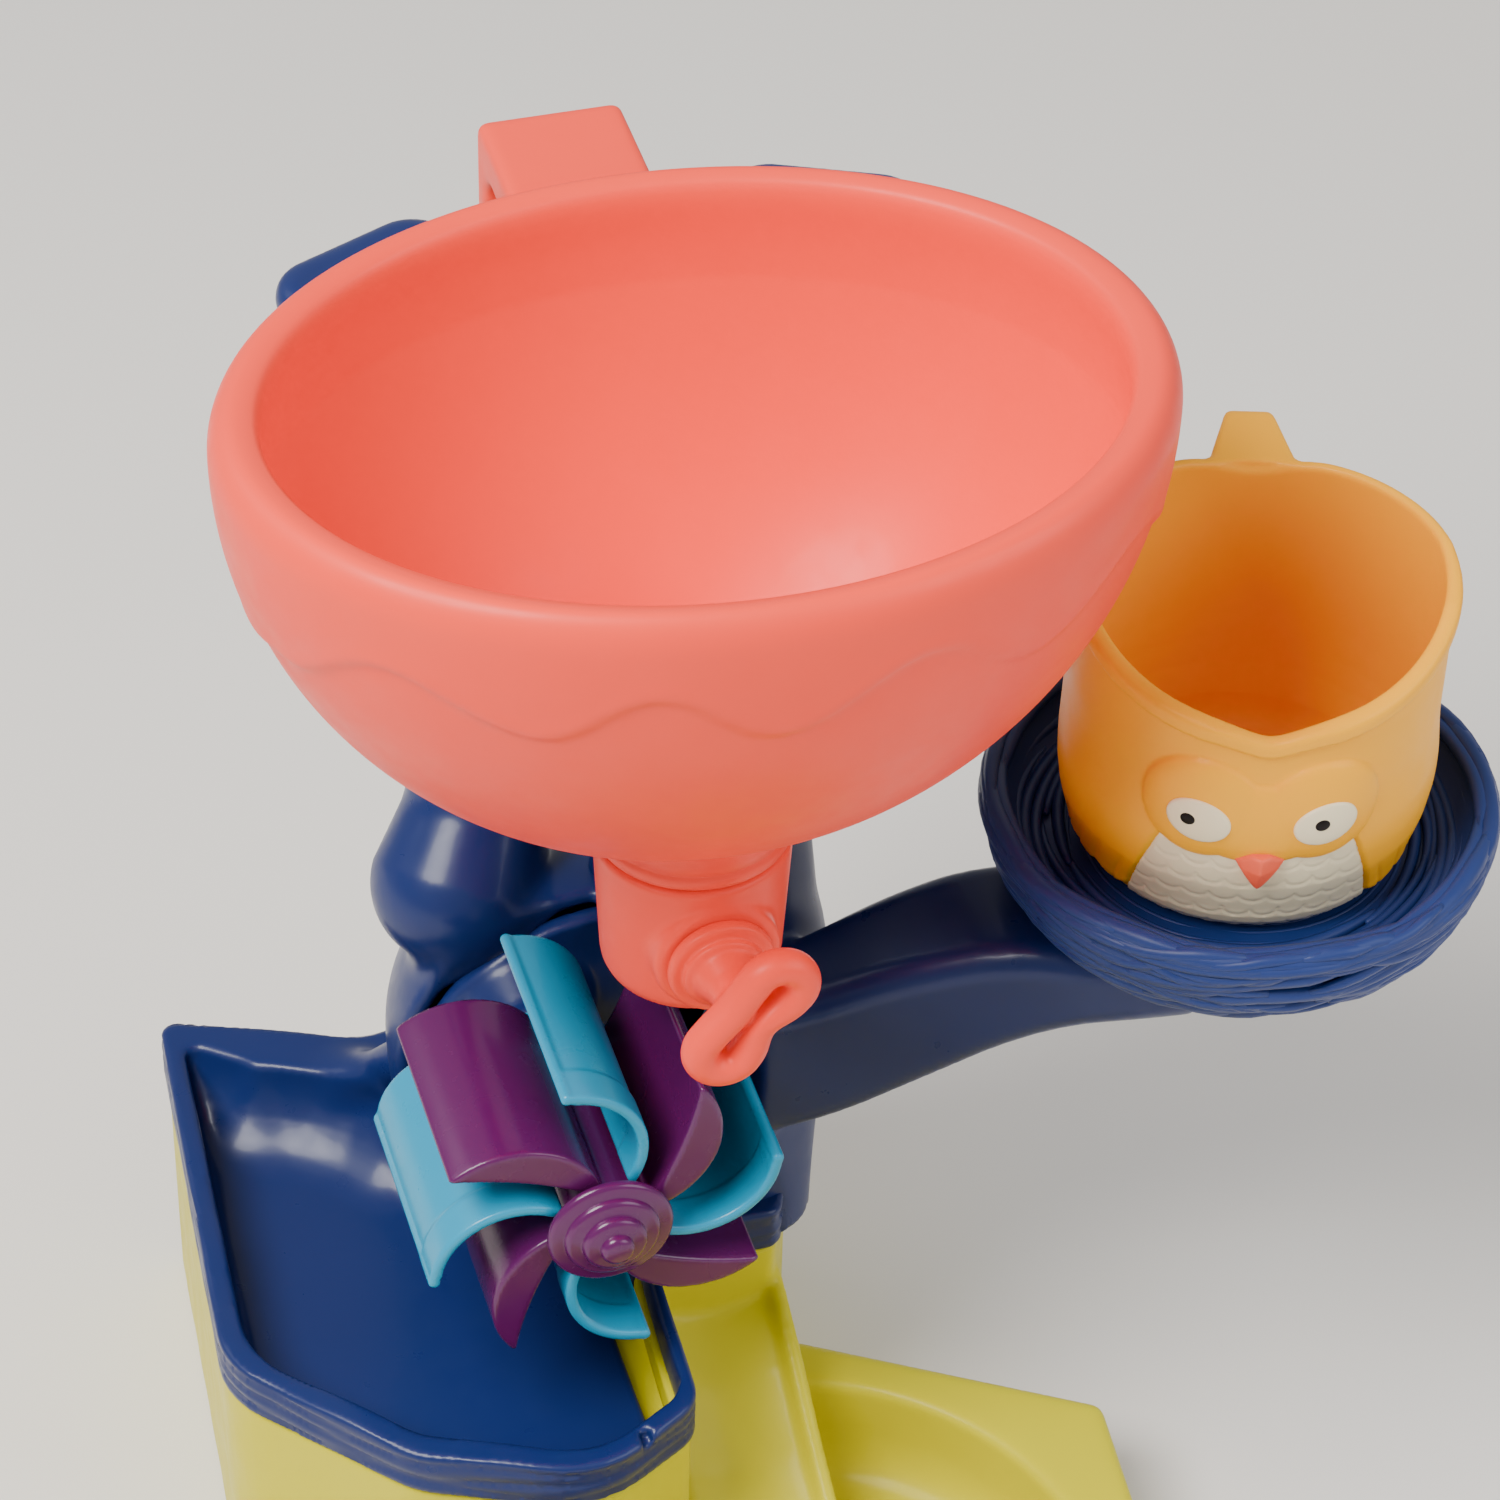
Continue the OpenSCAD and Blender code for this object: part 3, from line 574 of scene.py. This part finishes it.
form("wheel_purple_visual", purple, (-67, -30, 81), (17, 28, 165), 0.8, PURPLE, "wheel", ("wheel_purple",))
form("wheel_teal_visual", teal, (-67, -29, 81), (17, 28, 165), 0.62, TEAL, "wheel", ("wheel_teal",))
hp = [(0, 0), (2.4, 0.05), (3.2, 0.4), (3.6, 1.1), (3.7, 2.0), (4.2, 2.2), (5.8, 2.3), (6.6, 2.6), (7.0, 3.2), (7.1, 4.1), (7.6, 4.4),
      (9.2, 4.5), (10.0, 4.8), (10.4, 5.4), (10.5, 6.0), (11.0, 6.2), (12.8, 6.3), (13.5, 6.7), (13.8, 7.3), (13.7, 8.1), (13.2, 8.6), (5.2, 8.6),
      (5.2, 3.9)]
v, f = lathe(hp, (WX, WY0 - 9.7, WZ), "y", 72)
put("hub_cap_visual", v, f, PURPLE, "wheel", ("hub_cap",), 38)

# ------------------------------------------------------------------ outlines of deck and basin
DECK = [[-8, -42, 10], [-5.5, 8, 3], [25, 8, 5], [35, 32, 14], [35, 76, 20], [8, 97, 14], [-28, 97, 10],
        [-52, 88, 20], [-98, 107, 4], [-106, -4, 22], [-72, -41, 24], [-35, -57, 26]]
HOLE = [[-11.5, -38, 8], [-8.5, 9, 2], [-8.5, 49, 2], [-48, 49, 2], [-52, 72, 6], [-77, 85, 40], [-93.5, 98.5, 3],
        [-99.5, -2, 20], [-69, -34, 20], [-34.5, -50, 22]]
BASIN = [[93, -25, 4], [24, 17, 2], [-30, 17, 2], [-78, -60, 20], [-62, -128, 22], [12, -156, 22], [84, -124, 22]]
DECK_R, HOLE_R, BASIN_R = rounded(DECK), rounded(HOLE), rounded(BASIN)

# ------------------------------------------------------------------ tree


def stump(X, Y, Z):
    rr = L(X + 6, Y - 52)
    R = 41 + 7 * np.sin(np.radians((np.minimum(Z, 105) - 60) * 2))
    return np.where(Z < 105, rr - R, ell(X, Y, np.maximum(Z, 105.001), (-6, 52, 105), (48, 48, 44)))


def wheel_room(X, Y, Z):
    a = smax(L(X - WX, Z - WZ) - 43.5, Y - 31, 2)
    b = smax(smax(np.abs(X + 33.3) - 51.8, Y - 31, 2), Z - WZ, 2)
    return np.minimum(a, b)


def bowl_gap(X, Y, Z, g):
    return ell(X, Y, np.minimum(Z, 312), (0, 0, 312), (95 + g, 74 + g, 95 + g))


def limb(X, Y, Z, s, a, b, c, up=0.0):
    d = cone(X, Y, Z, a[0], b[0], a[1], b[1])
    d = smin(d, cone(X, Y, Z, b[0], c[0], b[1], c[1]), 4)
    t = np.clip((Z - c[0][2]) / 86.0, 0, 1)
    px, py = c[0][0] + (s * 58 - c[0][0]) * t, c[0][1] + (70 - c[0][1]) * t
    qx, qy = c[0][0] + (s * 38 - c[0][0]) * t, c[0][1] + (79 - c[0][1]) * t
    ex, ey = qx - px, qy - py
    u = np.clip(((X - px) * ex + (Y - py) * ey) / np.maximum(ex * ex + ey * ey, 1e-6), 0, 1)
    top = L(X - px - u * ex, Y - py - u * ey) - (c[1] + (10 - c[1]) * t)
    top = smax(smax(top, Z - 306 - up, 5), c[0][2] - Z, 3)
    return smin(d, top, 5)


def ease(x, xs, ys):
    return sum(np.interp(x + o, xs, ys) for o in (-10, -5, 0, 5, 10)) / 5


def tree(X, Y, Z):
    o = stump(X, Y, Z)
    shell = smax(np.abs(o + 2) - 2, 60 - Z, 0.5)
    left = limb(X, Y, Z, -1, ((-36, 61, 146), 19), ((-27, 72, 163), 15), ((-38, 78, 215), 14))
    right = limb(X, Y, Z, 1, ((22, 51, 134), 22), ((25, 60, 166), 18), ((40, 75, 215), 15), 0.5)
    # arm: tall and narrow at the trunk, low and wide under the nest
    st = [20, 31, 52, 74, 88, 104]
    cy, cz = ease(X, st, [20, 17, 10, 2.5, -1, -2]), ease(X, st, [119, 123, 139, 152.5, 152.5, 152])
    hy, hz = ease(X, st, [11, 11.5, 14.5, 17, 19, 22]), ease(X, st, [19, 20, 18, 13, 9, 7.5])
    qy, qz = np.abs(Y - cy) - hy + 6, np.abs(Z - cz) - hz + 6
    arm = L(np.maximum(qy, 0), np.maximum(qz, 0)) + np.minimum(np.maximum(qy, qz), 0) - 6
    arm = smax(smax(arm * 0.85, X - 108, 3), 18 - X, 3)
    disc = smax(L(X - 121, Y + 2) - np.interp(Z, [145, 150, 159.7], [13, 18, 25.5]), np.abs(Z - 152.8) - 7, 2)
    arm = smin(arm, disc, 6)
    under = smax(L(X - 121, Y + 2) - np.interp(Z, [159, 160, 163, 168, 176, 187], [24, 27, 40, 47, 53, 56.2]), 159.7 - Z, 0.5)
    arm = smax(arm, -under, 0.6)
    # flank of the trunk running down to the deck on the right
    flank = smax(cone(X, Y, Z, (23, 45, 126), (22, 23, 57), 21.5, 13.2), 66.2 - Z, 0.3)
    solid = smin(smin(left, right, 3), flank, 3)
    solid = np.maximum(solid, -(o + 3))
    quarter = smax(smax(X + 8, Y - 47, 2), Z - 175, 2)
    shell = smax(smax(shell, -quarter, 2), -wheel_room(X, Y, Z), 3)
    d = smin(shell, solid, 7)
    d = smin(d, np.maximum(arm, -(o + 3)), 6)
    d = smax(d, -wheel_room(X, Y, Z), 2)
    d = smax(d, -bowl_gap(X, Y, Z, 0.9), 1.5)
    neck = smax(L(X, Y) - 30, np.abs(Z - 210) - 45, 2)
    post = cone(X, Y, Z, (0, 31, 206), (0, 60, 133.5), 7.9, 7.9)
    d = smax(d, -neck, 2)
    d = smax(d, -smax(post, 150 - Z, 1), 1)
    # the foot of the trunk stands inside the deck walls
    return np.where(Z < 66.2, np.maximum(d, poly2(X, Y, rounded(DECK)) + 5.0), d)


form("tree", tree, (-72, -29, 57), (150, 106, 314), 1.4, NAVY, "tower", ("trunk_shell", "limb_left", "limb_right", "branch_arm"))


def yoke(X, Y, Z):
    rr = L(X, Y)
    ring = smax(np.abs(rr - 24.3) - 2.7, np.abs(Z - 213.8) - 4.8, 1.2)
    ring = smax(ring, -Y - 3.5, 1)
    post = cone(X, Y, Z, (0, 31, 206), (0, 59, 136), 7.5, 7.5)
    post = smax(post, -(rr - 21.6), 1)
    d = smin(ring, post, 3)
    d = smax(d, Z - 218.6, 1)
    d = smax(d, -bowl_gap(X, Y, Z, 0.5), 0.8)
    return smax(d, -(stump(X, Y, Z) + 1), 0.5)


form("yoke", yoke, (-29, -8, 140), (29, 70, 221), 1.1, NAVY, "tower", ("bowl_yoke",))


def bracket(X, Y, Z):
    rr = L(X - WX, Z - WZ)
    boss = smax(rr - np.interp(Y, [28, 33, 43.5], [11, 11, 15]), np.abs(Y - 36.5) - 7.9, 1.2)
    plate = smax(smax(stump(X, Y, Z) + 3.9, np.abs(Y - 44.9) - 1.9, 0.8), X - 8, 0.8)
    foot = box(X, Y, Z, (-42, 37.5, 60.1), (4, 45.5, 64), 0.8)
    d = smin(boss, smin(plate, foot, 3), 3)
    d = smax(d, 60.1 - Z, 0.3)
    # ring step on the front of the boss
    d = smax(d, -smax(np.abs(rr - 8.3) - 0.7, Y - 29.4, 0.4), 0.4)
    return smax(d, -(rr - 5.5), 0.3)


form("bracket", bracket, (-56, 27, 59), (24, 50, 150), 1.0, NAVY, "tower", ("axle_bracket",))

# ------------------------------------------------------------------ deck and base
def deck(X, Y, Z):
    o = poly2(X, Y, DECK_R)
    hole = poly2(X, Y, HOLE_R)
    a = np.arctan2(Y - 25, X + 50)
    bark = 0.0
    for z0, amp, fq, ph in ((75.2, 0.9, 7, 0.4), (71.6, 1.3, 5, 2.0), (68.4, 0.8, 8, 4.0)):
        bark = bark + 0.75 * np.exp(-((Z - z0 - amp * np.sin(fq * a + ph)) / 0.75) ** 2)
    band = smax(smax(o + 0.25 + bark, Z - 78 - 0.35 * np.sin(11 * a), 1.6), 66 - Z, 1.4)
    skirt = smax(smax(o + 4.8, Z - 68, 0.5), 57.5 - Z, 0.5)
    d = np.minimum(band, skirt)
    back = None
    for p, q in (((-50, 66), (-60, 78)), ((-60, 78), (-78, 87)), ((-78, 87), (-95, 101))):
        t = np.clip(((X - p[0]) * (q[0] - p[0]) + (Y - p[1]) * (q[1] - p[1])) / ((q[0] - p[0]) ** 2 + (q[1] - p[1]) ** 2), 0, 1)
        b = L(X - p[0] - t * (q[0] - p[0]), Y - p[1] - t * (q[1] - p[1]))
        back = b if back is None else smin(back, b, 4)
    floor_z = 60 + 16.5 * np.clip(1 - back / 21.0, 0, 1) ** 2.2
    well = smax(hole, (floor_z - Z) * 0.8, 6)
    d = smax(d, -well, 1.6)
    # root running from the trunk along the back wall
    root = cone(X, Y, Z, (-46, 66, 90), (-58, 80, 74), 6, 3)
    root = smax(smax(root, o + 0.3, 1.5), 59 - Z, 0.5)
    d = smin(d, root, 8)
    d = smax(d, o + 0.15, 0.8)
    d = smax(d, -box(X, Y, Z, (-16.8, -36, 40), (-10.8, 3, 90), 2.5), 0.8)
    d = smax(d, -box(X, Y, Z, (-23.6, -64, 75.2), (-21, -46, 90), 0.5), 0.4)
    # room for the wheel and the trunk's opening
    d = smax(d, -box(X, Y, Z, (-50, 20, 60), (10, 50, 100), 0.8), 0.6)
    return d


form("deck", deck, (-109, -61, 56), (38, 110, 95), 1.15, NAVY, "tower", ("deck_tray",))


def base(X, Y, Z):
    o = poly2(X, Y, DECK_R) + 1.5
    b = poly2(X, Y, BASIN_R)
    ped = smax(smax(o, Z - 65.7, 1), 0.4 - Z, 0.8)
    basin = smax(smax(b, Z - 30, 3.5), 0.4 - Z, 0.8)
    rr = L(X - 8, Y + 65)
    well = smax(rr - 67, 3 - Z, 14)
    d = smax(basin, -well, 3)
    d = smin(d, ped, 2.5)
    # chute: a curved gutter from under the wheel down into the basin
    ramp = np.interp(Y, [-57, -55, -50, -40, -22, -6, 8, 13], [4, 12, 17, 22, 32, 43, 51, 53])
    gutter = 3.2 * (1 - np.clip((X - 9.5) / 14, -1, 1) ** 2)
    lip = 2.4 * step01((X - 21) / 3)
    ch = smax((Z - ramp + gutter - lip) * 0.8, np.abs(X - 9.5) - 17, 1.8)
    ch = smax(smax(ch, np.abs(Y + 22) - 35, 2), -Z, 0.5)
    d = smin(d, ch, 2)
    d = smin(d, ell(X, Y, Z, (19, -51, 17), (8.5, 6.5, 6)), 4)
    inner = smax(smax(o + 3, 3 - Z, 1.0), Z - 200, 1)
    d = smax(d, -inner, 0.8)
    # sloping ledge under the slot, and the window beside it
    ledge = poly2(X, Z, [(-26, 56.9), (-26, 54.6), (-9.6, 50.6), (-9.6, 53)])
    ledge = smax(ledge, np.abs(Y + 15) - 18, 0.5)
    d = np.minimum(d, ledge)
    d = smax(d, -box(X, Y, Z, (-14, -29, 53.2), (-4, 2, 57.4), 0.8), 0.4)
    return smax(d, 0.2 - Z, 0.2)


form("base", base, (-108, -155, -1.5), (96, 110, 68), 1.5, LIME, "tower", ("base_tray",))

# ------------------------------------------------------------------ nest of twigs
NX, NY = 121.0, -2.0
rng = random.Random(11)
ZS = [160, 162, 165, 169, 174, 180, 187, 192]
RS = [28, 37, 43.5, 48, 51.8, 54.4, 55.9, 55.6]
pro = smooth_profile([(0.2, 160), (26, 160.2), (37, 163), (44.5, 169), (49, 176), (51.6, 185), (52, 189.3), (51.2, 190.4), (50.2, 189.4),
                      (49.6, 186.6), (46.4, 182), (42, 179.4), (37, 178.7), (0.2, 178.6)], 5)
parts = [lathe(pro, (NX, NY, 0), "z", 72)]


def strand(a0, span, zf, rf, rad, n=16):
    pts = []
    for k in range(n):
        t = k / (n - 1)
        a = a0 + span * t
        z, R = zf(t, a), rf(t, a)
        pts.append((NX + R * math.cos(a), NY + R * math.sin(a), z))
    rs = [rad * (0.55 + 0.45 * min(1, 5 * min(k, n - 1 - k) / (n - 1))) for k in range(n)]
    parts.append(tube(pts, rs, 8))


# outer weave: strands lying round the nest, dipping under and over each other
for i in range(120):
    a0, span = rng.uniform(0, 6.283), rng.uniform(0.5, 1.3)
    z0, rise, rad = rng.uniform(163.5, 189.5), rng.uniform(-5, 5), rng.uniform(1.2, 2.0)
    ph, fq = rng.uniform(0, 6.3), rng.uniform(1.5, 3.5)
    zf = lambda t, a: min(192 - rad, max(160.6 + rad, z0 + rise * (2 * t - 1) + 0.9 * math.sin(fq * t * 3 + ph)))
    strand(a0, span, zf, lambda t, a: float(np.interp(zf(t, a), ZS, RS)) - rad - 0.15 - 0.7 * (0.5 + 0.5 * math.sin(8 * t + ph)), rad)
# inner wall: strands laid round it from the floor up to the rim
for row in range(8):
    rw = (38.4, 40.8, 43.0, 45.0, 46.8, 48.3, 49.5, 50.4)[row]
    zw = 187.0 - 8.3 * math.sqrt(max(0.0, 1 - ((rw - 36) / 15.2) ** 2)) + 0.35
    for i in range(6):
        a0 = i * 1.0472 + row * 0.61 + rng.uniform(-0.25, 0.25)
        ph, rad, tilt = rng.uniform(0, 6.3), rng.uniform(1.0, 1.55), rng.uniform(-0.7, 0.7)
        strand(a0, rng.uniform(1.1, 1.4), lambda t, a: zw + 0.35 * math.sin(7 * t + ph), lambda t, a: rw + tilt * (2 * t - 1) + 0.55 * math.sin(6 * t + ph), rad, 18)
# rings lying on the floor
for row in range(4):
    rw = 27.0 + row * 2.9
    for i in range(4):
        ph = rng.uniform(0, 6.3)
        strand(i * 1.5708 + row * 0.5, 1.7, lambda t, a: 178.25, lambda t, a: rw + 0.5 * math.sin(4 * t + ph), 0.62, 18)
# braided rim with knots where strands tuck under
for ring in range(4):
    for i in range(8):
        a0 = 2 * math.pi * i / 8 + ring * 0.21
        rad = (2.15, 1.8, 1.75, 1.5)[ring]
        strand(a0, 1.05, lambda t, a: 192 - rad - (0.0, 0.5, 1.3, 2.6)[ring] - 1.2 * (0.5 + 0.5 * math.sin(6.283 * t + ring * 2)),
               lambda t, a: (53.4, 51.3, 53.9, 54.2)[ring] - (rad - 1.5) * 0.6 + 0.3 * math.sin(6.283 * t + ring), rad, 16)
v, f = merge(parts)
put("nest_visual", v, f, TWIG, "tower", ("nest",))

# ------------------------------------------------------------------ owl cup
CT = math.radians(-17.5)


def cup_place(v):
    c, s = math.cos(CT), math.sin(CT)
    return np.stack([NX + c * v[:, 0] - s * v[:, 1], NY + s * v[:, 0] + c * v[:, 1], v[:, 2] + 171.3], 1)


def rim_h(U, V):
    side = np.interp(V, [-60, -38, -10, 8, 26, 45], [66, 68.5, 79, 81.4, 80.2, 78.8])
    side = side - 3.6 * np.exp(-(U / 9.5) ** 2) * step01((V - 18) / 14)
    vee = 66 + np.sqrt((0.5 * U) ** 2 + 2.0) - 1.4 + 40 * step01((V + 12) / 18)
    return smin(side, vee, 3)


def cup_r(W):
    return np.interp(W, [7.7, 8.05, 9.05, 10.6, 12.7, 15.1, 17.7, 21, 25, 31, 38, 52, 66, 84],
                     [26, 28.6, 31, 33.1, 34.7, 35.7, 36.2, 37.1, 38.1, 38.9, 39.3, 39.4, 39.5, 39.7])


def turn(U, V):
    return np.degrees(np.arctan2(U, -V))


def face(U, V, W):
    """Height of the face over the wall: two round brow lobes above a broad muzzle."""
    u = np.radians(turn(U, V)) * 39.5
    h = np.zeros_like(u)
    for s in (-1, 1):
        h = np.maximum(h, 3.2 * np.sqrt(np.clip(1 - ((u - s * 12.6) / 13.2) ** 2 - ((W - 46.3) / 12.9) ** 2, 0, 1)))
    return np.maximum(h, 2.5 * np.sqrt(np.clip(1 - (u / 18.5) ** 2 - ((W - 43.5) / 10.5) ** 2, 0, 1)))


def split(W):
    return 29.5 + (36.7 - W) * 0.6


def relief(U, V, W):
    H = rim_h(U, V)
    lip = 1.3 * step01((W - H + 4.6) / 0.9) - 0.4 * np.exp(-((W - H + 6.4) / 1.8) ** 2)
    lip = lip * (0.25 + 0.75 * step01((12 - V) / 24))
    aw = np.abs(turn(U, V))
    # folded wings at the sides with scalloped lower ends
    low = 14.5 - 1.6 * np.abs(np.sin(np.radians((aw - 30) * 13)))
    wing = 1.25 * step01((aw - split(W)) / 1.6) * step01((104 - aw) / 26) * step01((50 - W) / 18) * step01((W - low) / 1.2)
    quill = np.abs(((aw + 0.7 * W) % 10.0) - 5.0)
    wing = wing - 0.35 * np.exp(-((quill - 5.0) / 0.8) ** 2) * step01((26 - W) / 5) * (wing > 1.0)
    return np.maximum(lip + wing, face(U, V, W))


def cup(U, V, W):
    rr = L(U, V)
    H = rim_h(U, V)
    out = smax((rr - cup_r(W) - relief(U, V, W)) * 0.9, 7.7 - W, 1.2)
    inner = smax(rr - cup_r(np.maximum(W, 17.7)) + 2.4, 10.1 - W, 8)
    d = smax(out, -inner, 0.8)
    d = smax(d, W - H, 1.6)
    hd = poly2(V, W, rounded([[28, 30, 1], [50, 30, 9], [57, 60, 6], [57, 79, 4], [28, 77, 1]], 6))
    hh = poly2(V, W, rounded([[28, 35, 1], [47, 35, 5], [52.4, 60, 4], [52.4, 74, 3], [28, 72, 1]], 6))
    h = smax(smax(hd, -hh, 1), np.abs(U) - np.interp(V, [38, 57], [9.6, 4.6]), 1.6)
    h = smax(h, -(rr - cup_r(W) + 1.4), 0.6)
    return smin(d, h, 1.4)


form("cup", cup, (-44, -46, 6), (44, 60, 86), 0.7, YELLOW, "cup", ("owl_cup",), cup_place)


def eye(U, V, W, s, du, dw, ra, rb, up):
    u = np.radians(turn(U, V)) * 39.5 - s * 12.4 - du
    w = W - 45 - dw
    c, k = math.cos(math.radians(17)), math.sin(math.radians(17))
    e = L((u * s * c + w * k) / ra, (w * c - u * s * k) / rb)
    lift = face(U, V, W) + up * (0.55 + 0.45 * np.sqrt(np.clip(1 - e * e, 0, 1)))
    d = smax(L(U, V) - cup_r(W) - lift, (e - 1) * rb, 0.3)
    return smax(d, cup_r(W) + face(U, V, W) - 0.8 - L(U, V), 0.1)


for s, tag in ((-1, "left"), (1, "right")):
    form("eye_" + tag, lambda U, V, W: eye(U, V, W, s, 0, 0, 6.5, 5.3, 0.9),
         (s * 12.9 - 8, -46, 37), (s * 12.9 + 8, -33, 53), 0.4, CREAM, "cup", (), cup_place)
    pu = -1.8 if s < 0 else -1.1
    form("pupil_" + tag, lambda U, V, W: eye(U, V, W, s, pu, 0.6, 1.6, 1.6, 1.25),
         (s * 12.9 + pu - 3, -46, 42), (s * 12.9 + pu + 3, -36, 49), 0.25, DARK, "cup", (), cup_place)


def beak(U, V, W):
    # blunt diamond, broad on top and pointed below
    half = np.interp(W, [26.6, 27.6, 34.6, 36.8], [0.2, 0.9, 5.2, 2.4])
    d = smax(np.abs(U - 0.4) - half, np.abs(W - 31.8) - 5.2, 1.0)
    top = 39.6 + 4.0 * np.clip(1 - np.abs(U - 0.4) / 7.0, 0, 1) * np.clip((W - 24) / 9, 0.3, 1)
    return smax(smax(d * 0.85, L(U, V) - top, 0.8), 37 - L(U, V), 0.2)


def belly(U, V, W):
    rr = L(U, V)
    ang = turn(U, V)
    # rows of scalloped feathers
    row = W / 5.0
    j = np.floor(row)
    u = ang / 9.0 + 0.5 * np.mod(j, 2)
    fu = u - np.round(u)
    arcz = (row - j) - 0.5 * (1 - np.sqrt(np.clip(1 - (2 * fu) ** 2, 0, 1)))
    groove = 0.22 * np.exp(-((arcz - 0.12) / 0.10) ** 2)
    d = np.abs(rr - cup_r(W) + groove) - 0.55
    side = np.abs(ang) - split(W) - 0.6
    return smax(smax(smax(d, W - 37, 0.5), side * 0.6, 0.3), 8.4 - W, 0.4)


form("beak", beak, (-7, -46, 25), (8, -35, 39), 0.4, BEAK, "cup", (), cup_place)
form("belly", belly, (-31, -42, 7), (31, -20, 39), 0.5, CREAM, "cup", (), cup_place)

# ------------------------------------------------------------------ CAD pieces shown as they are
for n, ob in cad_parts.items():
    if n in ("axle", "axle_washer", "axle_clip", "axle_nut") or n.endswith("_screws") or n.endswith("_screw"):
        ob.data.materials.clear()
        ob.data.materials.append(STEEL)
    elif n == "axle_bush":
        ob.data.materials.clear()
        ob.data.materials.append(BUSH)

# ------------------------------------------------------------------ floor, light, camera
fm = bpy.data.materials.new("floor")
fm.use_nodes = True
fb = fm.node_tree.nodes["Principled BSDF"]
ftc = fm.node_tree.nodes.new("ShaderNodeTexCoord")
fn = fm.node_tree.nodes.new("ShaderNodeTexNoise")
fn.inputs["Scale"].default_value = 3.0
fx = fm.node_tree.nodes.new("ShaderNodeMix")
fx.data_type = "RGBA"
fx.inputs["A"].default_value = (0.80, 0.77, 0.72, 1)
fx.inputs["B"].default_value = (0.84, 0.81, 0.76, 1)
fm.node_tree.links.new(ftc.outputs["Object"], fn.inputs["Vector"])
fm.node_tree.links.new(fn.outputs["Fac"], fx.inputs["Factor"])
fm.node_tree.links.new(fx.outputs["Result"], fb.inputs["Base Color"])
fb.inputs["Roughness"].default_value = 0.7
me = bpy.data.meshes.new("floor")
me.from_pydata([(-4, -4, 0), (4, -4, 0), (4, 5, 0), (-4, 5, 0)], [], [(0, 1, 2, 3)])
floor = bpy.data.objects.new("floor", me)
bpy.context.collection.objects.link(floor)
me.materials.append(fm)


def area(name, pos, aim, size, power, color=(1, 1, 1)):
    l = bpy.data.lights.new(name, "AREA")
    l.shape = "DISK"
    l.size = size
    l.energy = power
    l.color = color
    o = bpy.data.objects.new(name, l)
    o.location = pos
    o.rotation_euler = (Vector(aim) - Vector(pos)).to_track_quat("-Z", "Y").to_euler()
    bpy.context.collection.objects.link(o)


area("key", (-0.75, -0.35, 1.35), (0, 0, 0.18), 0.8, 36, (1.0, 0.98, 0.95))
area("fill", (0.95, -0.75, 0.9), (0, 0, 0.15), 1.0, 9, (0.97, 0.98, 1.0))
area("back", (-1.0, 0.75, 1.1), (0, 0, 0.2), 0.8, 2.5)
w = bpy.data.worlds.new("world")
bpy.context.scene.world = w
w.use_nodes = True
w.node_tree.nodes["Background"].inputs["Color"].default_value = (0.95, 0.95, 0.97, 1)
w.node_tree.nodes["Background"].inputs["Strength"].default_value = 0.55

e, a, roll = math.radians(40.48), math.radians(17.46), math.radians(1.53)
fwd = Vector((math.cos(e) * math.sin(a), math.cos(e) * math.cos(a), -math.sin(e)))
right = Vector((math.cos(a), -math.sin(a), 0))
up = Vector((math.sin(e) * math.sin(a), math.sin(e) * math.cos(a), math.cos(e)))
r2 = math.cos(roll) * right + math.sin(roll) * up
u2 = -math.sin(roll) * right + math.cos(roll) * up
cam = bpy.data.cameras.new("cam")
cam.lens = 120.0
cam.sensor_width = 36.0
cam.clip_start = 0.05
cam.clip_end = 20
co = bpy.data.objects.new("cam", cam)
co.matrix_world = Matrix(((r2.x, u2.x, -fwd.x, -0.22084), (r2.y, u2.y, -fwd.y, -0.7401), (r2.z, u2.z, -fwd.z, 0.88598), (0, 0, 0, 1)))
bpy.context.collection.objects.link(co)
bpy.context.scene.camera = co

bpy.context.view_layer.update()
